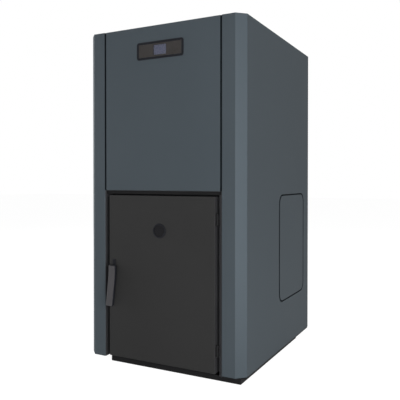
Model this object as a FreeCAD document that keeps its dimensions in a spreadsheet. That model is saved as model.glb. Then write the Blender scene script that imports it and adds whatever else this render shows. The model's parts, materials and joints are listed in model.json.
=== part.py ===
import FreeCAD, Part
import math
import os
import re

import Sketcher

# A free-standing pellet boiler: a folded steel cabinet with a water-jacketed firebox behind the lower
# front door, a pellet hopper behind it under a lid, a feed screw between them and a flue fan low down.
# Millimetres. +X is the boiler's right seen from the front, +Y runs to its back, +Z is up.
# The origin lies on the floor, under the middle of the casing.

doc = FreeCAD.newDocument("pellet_boiler")
sheet = doc.addObject("Spreadsheet::Sheet", "dim")

# Driving dimensions: the name of the cell and its value
SIZES = {
    # casing
    "case_width": 700,
    "case_depth": 800,
    "case_height": 1320,
    "skin": 1.5,
    "fit_gap": 0.3,
    "over": 1,
    "chamfer": 33,
    "column_face": 54,
    "column_return": 24,
    "rear_return": 25,
    "bend_radius": 2.5,
    "base_sheet": 3,
    # plinth, set back under the casing and short of its left side and its back
    "plinth_height": 20,
    "plinth_wall": 3,
    "plinth_left_inset": 106,
    "plinth_right_inset": 18,
    "plinth_front_inset": 17,
    "plinth_rear_inset": 131,
    # upper front panel and its seams
    "door_zone_height": 680,
    "panel_seam": 5,
    "seal_recess": 4,
    "seal_depth": 16,
    # display
    "display_width": 210,
    "display_height": 68,
    "display_radius": 10,
    "display_drop": 96,
    "display_rim": 10,
    "bezel_proud": 2,
    "bezel_depth": 8,
    "glass_thickness": 3,
    "lcd_width": 53,
    "lcd_depth": 6,
    "control_box_depth": 24,
    "control_box_margin": 15,
    # lower door
    "door_top_gap": 20,
    "door_side_gap": 25,
    "door_bottom_gap": 9,
    "door_depth": 40,
    "door_proud": 4,
    "door_sheet": 2,
    "door_plate": 4,
    "door_corner": 2,
    "gasket_width": 14,
    "gasket_thickness": 9.7,
    "gasket_inset": 40,
    "gasket_side_inset": 36,
    "refractory_inset": 15,
    "refractory_depth": 25,
    "front_plate": 6,
    # peephole
    "peep_diameter": 56,
    "peep_drop": 135,
    "peep_proud": 3,
    "peep_rim": 5,
    "sight_tube_radius": 20,
    "sight_tube_wall": 2,
    # hinge of the door
    "hinge_offset": 6,
    "hinge_set_back": 4,
    "hinge_radius": 5.5,
    "hinge_pin_radius": 3,
    "running_clearance": 0.05,
    "knuckle_length": 42,
    "hinge_end": 85,
    # handle
    "handle_inset": 24,
    "handle_drop": 294,
    "handle_length": 162,
    "handle_width": 33,
    "handle_thickness": 13,
    "handle_above_pivot": 13,
    "handle_standoff": 6,
    "handle_lean": 15,
    "hub_radius": 11,
    "spindle_radius": 5,
    "escutcheon_width": 14,
    "escutcheon_height": 54,
    "escutcheon_thickness": 3,
    "tongue_length": 42,
    "tongue_width": 16,
    "tongue_thickness": 5,
    "tongue_clearance": 3,
    "handle_edge": 4,
    "escutcheon_rise": 9,
    "keeper_foot": 14,
    "keeper_post": 3,
    # hatch in the right side
    "hatch_width": 343,
    "hatch_height": 452,
    "hatch_from_front": 381,
    "hatch_from_base": 205,
    "hatch_radius": 40,
    "hatch_seam": 3,
    "hatch_frame_width": 22,
    "hatch_depth": 12,
    "stud_radius": 4,
    "stud_length": 22,
    # boiler body
    "water_gap": 44,
    "jacket_back": 410,
    "jacket_top": 1130,
    "jacket_wall": 4,
    "mouth_margin": 6,
    "firebox_back": 290,
    "firebox_wall": 5,
    "outlet_radius": 45,
    "tube_radius": 22,
    "tube_wall": 3,
    "tube_margin": 9,
    "tube_gap": 8,
    "collector_floor": 60,
    "collector_gap": 5,
    "collector_drop": 10,
    "smoke_box_height": 90,
    "smoke_box_front": 200,
    "smoke_box_gap": 16,
    "insulation": 50,
    # burner and ash
    "pot_half": 65,
    "pot_height": 90,
    "pot_wall": 6,
    "pot_offset": 90,
    "drawer_clearance": 5.7,
    "burner_height": 40,
    "burner_half": 105,
    "burner_depth": 90,
    "burner_wall": 4,
    "air_hole_radius": 4,
    "spigot_reach": 150,
    "air_pipe_radius": 18,
    "air_pipe_wall": 2,
    "air_pipe_proud": 25,
    "drawer_side_gap": 22,
    "drawer_length": 132,
    "drawer_height": 95,
    "drawer_sheet": 2,
    "drawer_rear": 3,
    "pull_half": 45,
    "pull_reach": 15,
    "pull_bar": 4,
    # hopper and lid
    "hopper_side_gap": 115,
    "hopper_gap": 10,
    "hopper_rear_gap": 30,
    "hopper_sheet": 1.5,
    "funnel_wall": 2,
    "funnel_top": 850,
    "trough_half": 50,
    "trough_top": 610,
    "trough_wall": 3,
    "drive_gap": 9,
    "auger_height": 556,
    "auger_radius": 42,
    "auger_shaft_radius": 10,
    "auger_pitch": 60,
    "flight_thickness": 3,
    "chute_radius": 34,
    "chute_wall": 3,
    "chute_overhang": 10,
    "gearbox_half": 40,
    "gearbox_depth": 44,
    "motor_radius": 32,
    "motor_depth": 48,
    "collar_height": 10,
    "lid_height": 14,
    "lid_margin": 14,
    "lid_sheet": 1.5,
    "lid_hinge_radius": 5,
    "lid_pin_radius": 2.5,
    "lid_knuckle": 40,
    "lid_hinge_inset": 85,
    "lid_seal_width": 12,
    "lid_edge": 4,
    # fan and flue
    "outlet_margin": 12,
    "fan_height": 125,
    "fan_radius": 90,
    "fan_depth": 65,
    "fan_gap": 50,
    "fan_wall": 2,
    "impeller_radius": 78,
    "impeller_eye": 40,
    "impeller_plate": 2,
    "blade_depth": 35,
    "blades": 8,
    "fan_shaft_radius": 6,
    "fan_motor_radius": 45,
    "fan_motor_depth": 60,
    "duct_half": 35,
    "duct_top": 335,
    "flue_shift": 55,
    "flue_height": 285,
    "flue_radius": 40,
    "flue_wall": 1.5,
    "flue_proud": 60,
    # water connections, and the cover rings of all pipes on the back
    "ring_width": 8,
    "ring_thickness": 3,
    "pipe_inset": 35,
    "flow_height": 700,
    "return_height": 110,
    "pipe_radius": 16.6,
    "pipe_wall": 3,
    "pipe_proud": 40,
    # mains inlet, switch and fixings on the back
    "inlet_inset": 95,
    "inlet_height": 900,
    "inlet_half_width": 25,
    "inlet_half_height": 32,
    "inlet_depth": 24,
    "inlet_flange": 3,
    "rocker_half_width": 11,
    "rocker_half_height": 7,
    "rocker_rise": 14,
    "rocker_depth": 12,
    "socket_half_width": 12.5,
    "socket_half_height": 9,
    "socket_depth": 14,
    "socket_drop": 12,
    "screw_radius": 6,
    "screw_height": 3,
    "screw_inset": 12,
}

for row, (alias, value) in enumerate(SIZES.items(), 1):
    sheet.set(f"A{row}", alias.replace("_", " "))
    sheet.set(f"B{row}", str(value))
    sheet.setAlias(f"B{row}", alias)
doc.recompute()

# Places that many pieces share, as expressions of the cells above
HALF = "case_width / 2"
FRONT = "(-case_depth / 2)"
REAR = "case_depth / 2"
BASE = "plinth_height"
FLOOR = "(plinth_height + base_sheet)"
TOP = "(plinth_height + case_height)"
SEAM = "(case_width / 2 - chamfer - column_face)"
ZONE = "(plinth_height + door_zone_height)"
DOOR_HALF = f"({SEAM} - door_side_gap)"
DOOR_LOW = "(plinth_height + door_bottom_gap)"
DOOR_HIGH = f"({ZONE} - door_top_gap)"
DOOR_FACE = f"({FRONT} - door_proud)"
DOOR_BACK = f"({DOOR_FACE} + door_depth)"
PLATE_BACK = f"({DOOR_BACK} + door_plate)"
FRAME_FACE = f"({PLATE_BACK} + gasket_thickness + fit_gap)"
FRAME_BACK = f"({FRAME_FACE} + front_plate)"
JACKET_BACK = f"({FRONT} + jacket_back)"
HINGE_X = f"({DOOR_HALF} + hinge_offset)"
HINGE_Y = f"({FRONT} + hinge_set_back)"
HANDLE_X = f"(handle_inset - {DOOR_HALF})"
DISPLAY_Z = f"({TOP} - display_drop)"
HATCH_Y = f"({FRONT} + hatch_from_front + hatch_width / 2)"
HATCH_Z = "(plinth_height + hatch_from_base + hatch_height / 2)"
MOUTH_HALF = f"({DOOR_HALF} - gasket_side_inset - gasket_width - mouth_margin)"
MOUTH_TOP = f"({DOOR_HIGH} - gasket_inset - gasket_width - mouth_margin)"
FIRE_FLOOR = f"({DOOR_LOW} + gasket_inset + gasket_width + mouth_margin)"
FIRE_BACK = f"({FRONT} + firebox_back)"
JACKET_HALF = f"({MOUTH_HALF} + firebox_wall + water_gap + jacket_wall)"
PEEP_Z = f"({DOOR_HIGH} - peep_drop)"
HANDLE_Z = f"({DOOR_HIGH} - handle_drop)"
HINGE_LOW = f"({DOOR_LOW} + hinge_end)"
HINGE_HIGH = f"({DOOR_HIGH} - hinge_end)"
BURNER_FLOOR = f"({FIRE_FLOOR} + fit_gap + drawer_height + drawer_clearance)"
COLLECTOR_TOP = f"({BURNER_FLOOR} - collector_drop)"
SMOKE_BACK = f"({JACKET_BACK} - jacket_wall - smoke_box_gap)"
TUBE_OUTER = f"({MOUTH_HALF} - firebox_wall - tube_radius - tube_margin)"
TUBE_INNER = f"({TUBE_OUTER} - 2 * tube_radius - tube_gap)"
TUBE_Y = f"({SMOKE_BACK} - firebox_wall - tube_radius - tube_margin)"
HOPPER_HALF = f"({HALF} - hopper_side_gap)"
HOPPER_FRONT = f"({JACKET_BACK} + hopper_gap)"
HOPPER_BACK = f"({REAR} - hopper_rear_gap)"
TROUGH_BACK = f"({REAR} - 2 * skin - drive_gap - motor_depth - gearbox_depth)"
LID_HINGE_X = f"({HOPPER_HALF} - lid_hinge_inset)"
FAN_X = f"({MOUTH_HALF} - firebox_wall - outlet_radius - outlet_margin)"
FAN_FRONT = f"({JACKET_BACK} + fan_gap)"
FLUE_X = f"({FAN_X} + flue_shift)"
PIPE_X = f"({JACKET_HALF} - pipe_inset)"
INLET_X = f"({HALF} - inlet_inset)"

nodes = []


def cells(text):
    """The expression with each cell's name led to the sheet."""
    return re.sub(r"[a-z_]+[a-z]", lambda word: "dim." + word[0] if word[0] in SIZES else word[0], text)


def size(text):
    """The value of an expression of the cells, for places where a plain number is needed."""
    return float(sheet.evalExpression(cells(text)))


def bind(piece, **expressions):
    """Bind the properties of a piece to expressions; x, y and z are its place."""
    for name, text in expressions.items():
        where = f".Placement.Base.{name}" if name in "xyz" else name
        piece.setExpression(where, cells(text))
    return piece


def block(name, x, y, z):
    """A box between two planes along each axis, each given as a pair of expressions."""
    piece = doc.addObject("Part::Box", name)
    bind(piece, Length=f"({x[1]}) - ({x[0]})", Width=f"({y[1]}) - ({y[0]})", Height=f"({z[1]}) - ({z[0]})")
    return bind(piece, x=x[0], y=y[0], z=z[0])


TURNS = {
    "X": FreeCAD.Rotation(FreeCAD.Vector(0, 1, 0), 90),
    "Y": FreeCAD.Rotation(FreeCAD.Vector(1, 0, 0), -90),
    "Z": FreeCAD.Rotation(),
}


def rod(name, axis, start, radius, length):
    """A cylinder along +X, +Y or +Z from the centre of its first end."""
    piece = doc.addObject("Part::Cylinder", name)
    piece.Placement = FreeCAD.Placement(FreeCAD.Vector(), TURNS[axis])
    bind(piece, Radius=radius, Height=length)
    return bind(piece, x=start[0], y=start[1], z=start[2])


def union(name, *pieces):
    piece = doc.addObject("Part::MultiFuse", name)
    piece.Shapes = list(pieces)
    piece.Refine = True
    return piece


def cut(name, base, *tools):
    piece = doc.addObject("Part::Cut", name)
    piece.Base = base
    piece.Tool = tools[0] if len(tools) == 1 else union(name + "_tools", *tools)
    return piece


def group(name, *pieces):
    """Separate solids that share one node."""
    piece = doc.addObject("Part::Compound", name)
    piece.Links = list(pieces)
    return piece


def tube(name, axis, start, radius, wall, length):
    outer = rod(name + "_outer", axis, start, radius, length)
    return cut(name, outer, rod(name + "_bore", axis, start, f"{radius} - ({wall})", length))


def node(piece, label):
    """Take a finished piece as one of the boiler's named sub-parts."""
    piece.Label = label
    nodes.append(piece)
    return piece


def span(half):
    return f"-({half})", half


def plane(body, role):
    return next(f for f in body.Origin.OriginFeatures if f.Role == role)


def outline(body, name, role, points, offset="0"):
    """A closed sketch of straight runs through points, each a pair of expressions."""
    sketch = body.newObject("Sketcher::SketchObject", name)
    sketch.AttachmentSupport = [(plane(body, role), "")]
    sketch.MapMode = "FlatFace"
    sketch.setExpression(".AttachmentOffset.Base.z", cells(offset))
    corners = [FreeCAD.Vector(size(u), size(v), 0) for u, v in points]
    for i, corner in enumerate(corners):
        sketch.addGeometry(Part.LineSegment(corner, corners[(i + 1) % len(corners)]), False)
    for i in range(len(corners)):
        sketch.addConstraint(Sketcher.Constraint("Coincident", i, 2, (i + 1) % len(corners), 1))
    for i, texts in enumerate(points):
        for kind, text in zip(("DistanceX", "DistanceY"), texts):
            value = getattr(corners[i], kind[-1].lower())
            number = sketch.addConstraint(Sketcher.Constraint(kind, -1, 1, i, 1, value))
            sketch.setExpression(f"Constraints[{number}]", cells(text))
    return sketch


def pad(body, name, sketch, length, back=False):
    feature = body.newObject("PartDesign::Pad", name)
    feature.Profile = sketch
    feature.Reversed = back
    feature.setExpression("Length", cells(length))
    doc.recompute()
    return feature


def pocket(body, name, sketch, back=False):
    """Cut a sketch right through the body, away from or along the plane's normal."""
    before = body.Shape.Volume
    feature = body.newObject("PartDesign::Pocket", name)
    feature.Profile = sketch
    feature.Type = "ThroughAll"
    feature.Reversed = back
    doc.recompute()
    assert body.Shape.Volume < before, name + " cut nothing"
    return feature


def rounded(body, name, radius, wanted):
    """Fillet the body's straight edges that a test on their two ends picks out."""
    doc.recompute()
    base = body.Tip
    picked = [
        f"Edge{i}"
        for i, edge in enumerate(base.Shape.Edges, 1)
        if len(edge.Vertexes) == 2 and wanted(edge.Vertexes[0].Point, edge.Vertexes[1].Point)
    ]
    feature = body.newObject("PartDesign::Fillet", name)
    feature.Base = (base, picked)
    feature.setExpression("Radius", cells(radius))
    doc.recompute()
    return feature


def upright(a, b):
    return abs(a.x - b.x) < 1e-6 and abs(a.y - b.y) < 1e-6


def along(axis):
    """A test for edges that run along one axis."""
    def test(a, b):
        d = b - a
        return abs(getattr(d, axis)) > d.Length - 1e-6
    return test


def rectangle(x0, x1, y0, y1):
    return [(x0, y0), (x1, y0), (x1, y1), (x0, y1)]


def filleted(name, base, radius, wanted):
    """Fillet the straight edges of a Part object that a test on their two ends picks out."""
    doc.recompute()
    r = size(radius)
    piece = doc.addObject("Part::Fillet", name)
    piece.Base = base
    piece.Edges = [
        (i, r, r)
        for i, edge in enumerate(base.Shape.Edges, 1)
        if len(edge.Vertexes) == 2 and wanted(edge.Vertexes[0].Point, edge.Vertexes[1].Point)
    ]
    return piece


def on_plane(axis, text):
    """A test for edges that lie wholly at one height of an axis."""
    level = size(text)
    return lambda a, b: abs(getattr(a, axis) - level) < 1e-6 and abs(getattr(b, axis) - level) < 1e-6


def either(*tests):
    return lambda a, b: any(test(a, b) for test in tests)


def pan(name, x, y, z, wall, radius):
    """A folded sheet pan that is open to the back, with its front edges and corners rounded."""
    outer = block(name + "_block", x, y, z)
    soft = filleted(name + "_soft", outer, radius, either(along("y"), on_plane("y", y[0])))
    inside = block(
        name + "_inside",
        (f"{x[0]} + {wall}", f"{x[1]} - {wall}"),
        (f"{y[0]} + {wall}", f"{y[1]} + {wall}"),
        (f"{z[0]} + {wall}", f"{z[1]} - {wall}"),
    )
    return cut(name, soft, inside)


def screw_head(name, x, y, z, turn, radius, height):
    """A domed screw head: the axis runs from the face it sits on, outwards."""
    head = doc.addObject("Part::Sphere", name + "_dome")
    bind(head, Radius=radius)
    bind(head, x=x, y=y, z=z)
    keep = rod(name + "_keep", "Z", ("0", "0", "0"), radius, height)
    keep.Placement = FreeCAD.Placement(FreeCAD.Vector(), turn)
    bind(keep, x=x, y=y, z=z)
    piece = doc.addObject("Part::Common", name)
    piece.Base = head
    piece.Tool = keep
    return piece


# Casing: two folded side panels, each with its chamfered front column

def side_panel(side, label):
    body = doc.addObject("PartDesign::Body", label + "_body")
    step = "skin * (sqrt(2) - 1)"
    path = [
        (SEAM, f"{FRONT} + column_return"),
        (SEAM, FRONT),
        (f"{HALF} - chamfer", FRONT),
        (HALF, f"{FRONT} + chamfer"),
        (HALF, REAR),
        (f"{HALF} - rear_return", REAR),
        (f"{HALF} - rear_return", f"{REAR} - skin"),
        (f"{HALF} - skin", f"{REAR} - skin"),
        (f"{HALF} - skin", f"{FRONT} + chamfer + {step}"),
        (f"{HALF} - chamfer - {step}", f"{FRONT} + skin"),
        (f"{SEAM} + skin", f"{FRONT} + skin"),
        (f"{SEAM} + skin", f"{FRONT} + column_return"),
    ]
    profile = outline(body, label + "_profile", "XY_Plane", [(f"{side} * ({x})", y) for x, y in path], BASE)
    pad(body, label + "_sheet", profile, "case_height")
    outer = [(side * size(x), size(y)) for x, y in path[1:5]]

    def at_bend(a, b):
        return upright(a, b) and any(abs(a.x - x) < 1e-4 and abs(a.y - y) < 1e-4 for x, y in outer)

    rounded(body, label + "_bends", "bend_radius", at_bend)
    return body


def sheet_outline(front):
    """The outline of a flat sheet inside the side panels, notched round the returns of their columns."""
    gap = "(skin + fit_gap)"
    step = f"{gap} * (sqrt(2) - 1)"
    notch = f"{FRONT} + column_return + fit_gap"
    half = [
        (SEAM, front),
        (SEAM, notch),
        (f"{SEAM} + {gap}", notch),
        (f"{SEAM} + {gap}", f"{FRONT} + {gap}"),
        (f"{HALF} - chamfer - {step}", f"{FRONT} + {gap}"),
        (f"{HALF} - {gap}", f"{FRONT} + chamfer + {step}"),
        (f"{HALF} - {gap}", f"{REAR} - 2 * skin"),
    ]
    if front == notch:
        half = half[2:]
    return half + [(f"-({x})", y) for x, y in reversed(half)]


def make_casing():
    node(side_panel(-1, "left_side_panel"), "left_side_panel")

    right = side_panel(1, "right_side_panel")
    reach = "(hatch_width / 2 + hatch_seam)", "(hatch_height / 2 + hatch_seam)"
    window = rectangle(
        f"{HATCH_Y} - {reach[0]}",
        f"{HATCH_Y} + {reach[0]}",
        f"{HATCH_Z} - {reach[1]}",
        f"{HATCH_Z} + {reach[1]}",
    )
    pocket(right, "hatch_window", outline(right, "hatch_outline", "YZ_Plane", window), back=True)
    through = along("x")
    behind = size(f"{FRONT} + hatch_from_front / 2")
    thin = 2 * size("skin")

    def at_window(a, b):
        return through(a, b) and (b - a).Length < thin and a.y > behind

    rounded(right, "hatch_corners", "hatch_radius + hatch_seam", at_window)
    node(right, "right_side_panel")

    front = pan(
        "upper_front_pan",
        span(f"{SEAM} - panel_seam"),
        (FRONT, f"{FRONT} + column_return"),
        (ZONE, TOP),
        "skin",
        "bend_radius",
    )
    cutout = block(
        "display_cutout",
        span("display_width / 2 - display_rim / 2"),
        (f"{FRONT} - over", f"{FRONT} + skin + over"),
        (
            f"{DISPLAY_Z} - display_height / 2 + display_rim / 2",
            f"{DISPLAY_Z} + display_height / 2 - display_rim / 2",
        ),
    )
    node(cut("upper_front_panel_sheet", front, cutout), "upper_front_panel")

    seals = [
        block(
            f"panel_seal_{name}",
            (f"{sign} * ({SEAM} - panel_seam / 2) - panel_seam / 2 + fit_gap / 2",
             f"{sign} * ({SEAM} - panel_seam / 2) + panel_seam / 2 - fit_gap / 2"),
            (f"{FRONT} + seal_recess", f"{FRONT} + seal_recess + seal_depth"),
            (ZONE, f"{TOP} - skin - fit_gap"),
        )
        for name, sign in (("left", -1), ("right", 1))
    ]
    node(group("panel_seal_strips", *seals), "panel_seal_strips")

    outer = block(
        "plinth_tray",
        (f"plinth_left_inset - {HALF}", f"{HALF} - plinth_right_inset"),
        (f"{FRONT} + plinth_front_inset", f"{REAR} - plinth_rear_inset"),
        ("0", BASE),
    )
    inner = block(
        "plinth_hollow",
        (f"plinth_left_inset - {HALF} + plinth_wall", f"{HALF} - plinth_right_inset - plinth_wall"),
        (f"{FRONT} + plinth_front_inset + plinth_wall", f"{REAR} - plinth_rear_inset - plinth_wall"),
        ("plinth_wall", f"{BASE} + plinth_wall"),
    )
    node(cut("base_plinth", outer, inner), "base_plinth")

    floor = doc.addObject("PartDesign::Body", "base_plate_body")
    path = sheet_outline(FRAME_FACE)
    pad(floor, "base_plate_sheet", outline(floor, "base_outline", "XY_Plane", path, BASE), "base_sheet")
    node(floor, "base_plate")


def make_door_surround():
    """The black lining of the door's recess: two sides and a head."""
    depth = (f"{FRONT} + skin", FRAME_FACE)
    left = block("surround_left", (f"-{SEAM}", f"-{SEAM} + skin"), depth, (BASE, ZONE))
    right = block("surround_right", (f"{SEAM} - skin", SEAM), depth, (BASE, ZONE))
    head = block("surround_head", span(SEAM), depth, (f"{ZONE} - skin", ZONE))
    node(union("door_surround", left, right, head), "door_surround")


def make_top_panel():
    """The flat top between the panels, with a collar round the hopper's mouth."""
    body = doc.addObject("PartDesign::Body", "top_panel_body")
    path = sheet_outline(f"{FRONT} + column_return + fit_gap")
    pad(body, "top_sheet", outline(body, "top_outline", "XY_Plane", path, f"{TOP} - skin"), "skin")
    mouth = rectangle(
        f"-{HOPPER_HALF}", HOPPER_HALF, HOPPER_FRONT, HOPPER_BACK
    )
    rim = rectangle(
        f"-{HOPPER_HALF} - skin", f"{HOPPER_HALF} + skin",
        f"{HOPPER_FRONT} - skin", f"{HOPPER_BACK} + skin",
    )
    pad(
        body,
        "collar",
        outline(body, "collar_outline", "XY_Plane", rim, f"{TOP} - skin"),
        "skin + collar_height",
    )
    pocket(body, "mouth", outline(body, "mouth_outline", "XY_Plane", mouth), back=True)
    node(body, "top_panel")


def make_display():
    """The display: a rounded bezel in the cut-out, its glass, the screen and the box behind."""
    width, height = "display_width / 2", "display_height / 2"

    def slab(name, inset, y):
        return block(
            name, span(f"{width} - ({inset})"), y,
            (f"{DISPLAY_Z} - {height} + ({inset})", f"{DISPLAY_Z} + {height} - ({inset})"),
        )

    face = f"{FRONT} - bezel_proud"
    flange = slab("bezel_flange", "0", (face, FRONT))
    soft = filleted("bezel_corners", flange, "display_radius", along("y"))
    sleeve = slab("bezel_sleeve", "display_rim / 2 + fit_gap", (FRONT, f"{face} + bezel_depth"))
    window = slab("bezel_window", "display_rim", (f"{face} - over", f"{face} + bezel_depth + over"))
    node(cut("bezel", union("bezel_solid", soft, sleeve), window), "display_bezel")

    pane = (f"{face} + bezel_proud / 4", f"{face} + bezel_proud / 4 + glass_thickness")
    node(slab("glass", "display_rim", pane), "display_glass")
    tall = (f"{DISPLAY_Z} - {height} + display_rim", f"{DISPLAY_Z} + {height} - display_rim")
    screen = block("screen", span("lcd_width / 2"), (pane[1], f"{pane[1]} + lcd_depth"), tall)
    node(screen, "lcd_screen")

    behind = f"{FRONT} + skin"
    shell = slab("control_shell", "-control_box_margin", (behind, f"{behind} + control_box_depth"))
    hollow = slab("control_hollow", "plinth_wall - control_box_margin",
                  (behind, f"{behind} + control_box_depth - plinth_wall"))
    node(cut("control_box_housing", shell, hollow), "control_box")


# Lower door, its hinges and its latch

def make_door():
    skin = pan(
        "door_pan",
        span(DOOR_HALF),
        (DOOR_FACE, DOOR_BACK),
        (DOOR_LOW, DOOR_HIGH),
        "door_sheet",
        "door_corner",
    )
    through = f"{FRAME_BACK} - {DOOR_FACE}"

    def sight_hole(name, radius):
        return rod(name, "Y", ("0", f"{DOOR_FACE} - over", PEEP_Z), radius, through)

    def spindle_hole(name):
        start = (HANDLE_X, f"{DOOR_FACE} - escutcheon_thickness - over", HANDLE_Z)
        return rod(name, "Y", start, "spindle_radius + running_clearance", through)

    holes = sight_hole("pan_sight_hole", "sight_tube_radius"), spindle_hole("pan_spindle_hole")
    node(cut("door_panel_sheet", skin, *holes), "door_panel")

    fill = block(
        "door_fill",
        span(f"{DOOR_HALF} - door_sheet"),
        (f"{DOOR_FACE} + door_sheet", DOOR_BACK),
        (f"{DOOR_LOW} + door_sheet", f"{DOOR_HIGH} - door_sheet"),
    )
    holes = sight_hole("fill_sight_hole", "sight_tube_radius"), spindle_hole("fill_spindle_hole")
    node(cut("door_fill_cut", fill, *holes), "door_insulation")

    plate = block("inner_plate", span(DOOR_HALF), (DOOR_BACK, PLATE_BACK), (DOOR_LOW, DOOR_HIGH))
    holes = sight_hole("plate_sight_hole", "sight_tube_radius"), spindle_hole("plate_spindle_hole")
    node(cut("inner_plate_cut", plate, *holes), "door_inner_plate")

    def ring(name, grow, extra):
        margin = f"mouth_margin + ({grow})"
        return block(
            name, span(f"{MOUTH_HALF} + {margin}"),
            (f"{PLATE_BACK} - {extra}", f"{PLATE_BACK} + gasket_thickness + {extra}"),
            (f"{FIRE_FLOOR} - ({margin})", f"{MOUTH_TOP} + {margin}"),
        )

    rope = cut("gasket_ring", ring("gasket_outer", "gasket_width", "0"), ring("gasket_inner", "0", "over"))
    node(rope, "door_gasket")

    slab = block(
        "refractory_slab",
        span(f"{MOUTH_HALF} - refractory_inset"),
        (PLATE_BACK, f"{PLATE_BACK} + refractory_depth"),
        (f"{BURNER_FLOOR} + refractory_inset", f"{MOUTH_TOP} - refractory_inset"),
    )
    hole = rod("refractory_hole", "Y", ("0", f"{PLATE_BACK} - over", PEEP_Z),
               "sight_tube_radius - sight_tube_wall", "refractory_depth + 2 * over")
    node(cut("refractory", slab, hole), "door_refractory")

    peep = "peep_diameter / 2"
    start = ("0", f"{DOOR_FACE} - peep_proud", PEEP_Z)
    node(tube("peep_ring", "Y", start, peep, "peep_rim", "peep_proud"), "peephole_ring")
    lens = ("0", f"{DOOR_FACE} - peep_proud * 2 / 3", PEEP_Z)
    node(rod("peep_lens", "Y", lens, f"{peep} - peep_rim", "peep_proud * 2 / 3"), "peephole_glass")
    start = ("0", DOOR_FACE, PEEP_Z)
    sight = tube(
        "sight_pipe", "Y", start, "sight_tube_radius", "sight_tube_wall", f"{PLATE_BACK} - {DOOR_FACE}"
    )
    node(sight, "sight_tube")


def make_hinges():
    """Two lift-off hinges: pins that stand on the boiler's brackets carry the door's knuckles."""
    moving, fixed = [], []
    for name, level in (("low", HINGE_LOW), ("high", HINGE_HIGH)):
        centre = (HINGE_X, HINGE_Y)
        half = "knuckle_length / 2"
        knuckle = tube(f"door_knuckle_{name}", "Z", (*centre, f"{level} + fit_gap"), "hinge_radius",
                       "hinge_radius - hinge_pin_radius - running_clearance", half)
        web = block(
            f"door_web_{name}",
            (DOOR_HALF, f"{HINGE_X} - hinge_pin_radius - running_clearance"),
            (f"{HINGE_Y} - hinge_pin_radius", f"{HINGE_Y} + hinge_pin_radius"),
            (f"{level} + fit_gap", f"{level} + fit_gap + {half}"),
        )
        bore = rod(
            f"door_bore_{name}",
            "Z",
            (*centre, f"{level} - over"),
            "hinge_pin_radius + running_clearance",
            "knuckle_length",
        )
        moving.append(cut(f"door_leaf_{name}", union(f"door_leaf_solid_{name}", knuckle, web), bore))

        base = rod(f"fixed_knuckle_{name}", "Z", (*centre, f"{level} - {half}"), "hinge_radius", half)
        pin = rod(
            f"hinge_pin_{name}",
            "Z",
            (*centre, f"{level} - {half}"),
            "hinge_pin_radius",
            "knuckle_length",
        )
        arm = block(
            f"hinge_arm_{name}",
            (f"{HINGE_X} - hinge_set_back", f"{HINGE_X} + hinge_set_back"),
            (HINGE_Y, FRAME_FACE),
            (f"{level} - {half}", level),
        )
        fixed.append(union(f"hinge_bracket_{name}", base, pin, arm))
    node(group("door_knuckles", *moving), "door_hinge_knuckles")
    node(group("frame_brackets", *fixed), "hinge_brackets")


def make_latch():
    body = doc.addObject("PartDesign::Body", "grip_body")
    back = f"{DOOR_FACE} - handle_standoff"
    high = f"{HANDLE_Z} + handle_above_pivot"
    bend = f"{high} - handle_length / 4"
    low = f"{high} - handle_length"
    path = [
        (back, high), (f"{back} - handle_thickness", high), (f"{back} - handle_thickness", bend),
        (f"{back} - handle_thickness - handle_lean", low), (f"{back} - handle_lean", low), (back, bend),
    ]
    profile = outline(body, "grip_profile", "YZ_Plane", path, f"{HANDLE_X} - handle_width / 2")
    pad(body, "grip_bar", profile, "handle_width")
    rounded(body, "grip_edges", "handle_edge", lambda a, b: True)
    plate_face = f"{DOOR_FACE} - escutcheon_thickness"
    hub = rod("handle_hub", "Y", (HANDLE_X, f"{back} - handle_edge", HANDLE_Z), "hub_radius",
              "handle_standoff + handle_edge - escutcheon_thickness - fit_gap")
    node(union("handle_lever", body, hub), "door_handle")

    plate = block(
        "escutcheon_plate",
        (f"{HANDLE_X} - escutcheon_width / 2", f"{HANDLE_X} + escutcheon_width / 2"),
        (plate_face, DOOR_FACE),
        (
            f"{HANDLE_Z} - escutcheon_height / 2 + escutcheon_rise",
            f"{HANDLE_Z} + escutcheon_height / 2 + escutcheon_rise",
        ),
    )
    soft = filleted("escutcheon_soft", plate, "escutcheon_width / 4", along("y"))
    hole = rod("escutcheon_hole", "Y", (HANDLE_X, f"{plate_face} - over", HANDLE_Z),
               "spindle_radius + running_clearance", "escutcheon_thickness + 2 * over")
    node(cut("escutcheon", soft, hole), "handle_escutcheon")

    spindle_start = f"{plate_face} - fit_gap"
    tongue_back = f"({FRAME_FACE} - tongue_clearance)"
    node(rod("spindle", "Y", (HANDLE_X, spindle_start, HANDLE_Z), "spindle_radius",
             f"{tongue_back} - ({spindle_start})"), "latch_spindle")
    bar = block(
        "tongue_bar",
        (f"{HANDLE_X} - tongue_length", HANDLE_X),
        (f"{tongue_back} - tongue_thickness", tongue_back),
        (f"{HANDLE_Z} - tongue_width / 2", f"{HANDLE_Z} + tongue_width / 2"),
    )
    eye = rod(
        "tongue_eye",
        "Y",
        (HANDLE_X, f"{tongue_back} - tongue_thickness", HANDLE_Z),
        "tongue_width / 2",
        "tongue_thickness",
    )
    bore = rod(
        "tongue_bore",
        "Y",
        (HANDLE_X, f"{tongue_back} - tongue_thickness - over", HANDLE_Z),
        "spindle_radius",
        "tongue_thickness + 2 * over",
    )
    node(cut("tongue", union("tongue_solid", bar, eye), bore), "latch_tongue")

    tall = (f"{HANDLE_Z} - escutcheon_height / 2", f"{HANDLE_Z} + escutcheon_height / 2")
    inside = f"skin - {SEAM}"
    foot = block(
        "keeper_foot",
        (inside, f"{inside} + keeper_foot"),
        (f"{FRAME_FACE} - door_sheet", FRAME_FACE),
        tall,
    )
    post = block(
        "keeper_post",
        (inside, f"{inside} + keeper_post"),
        (f"{DOOR_BACK} - door_sheet", FRAME_FACE),
        tall,
    )
    node(union("keeper", foot, post), "latch_keeper")


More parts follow.
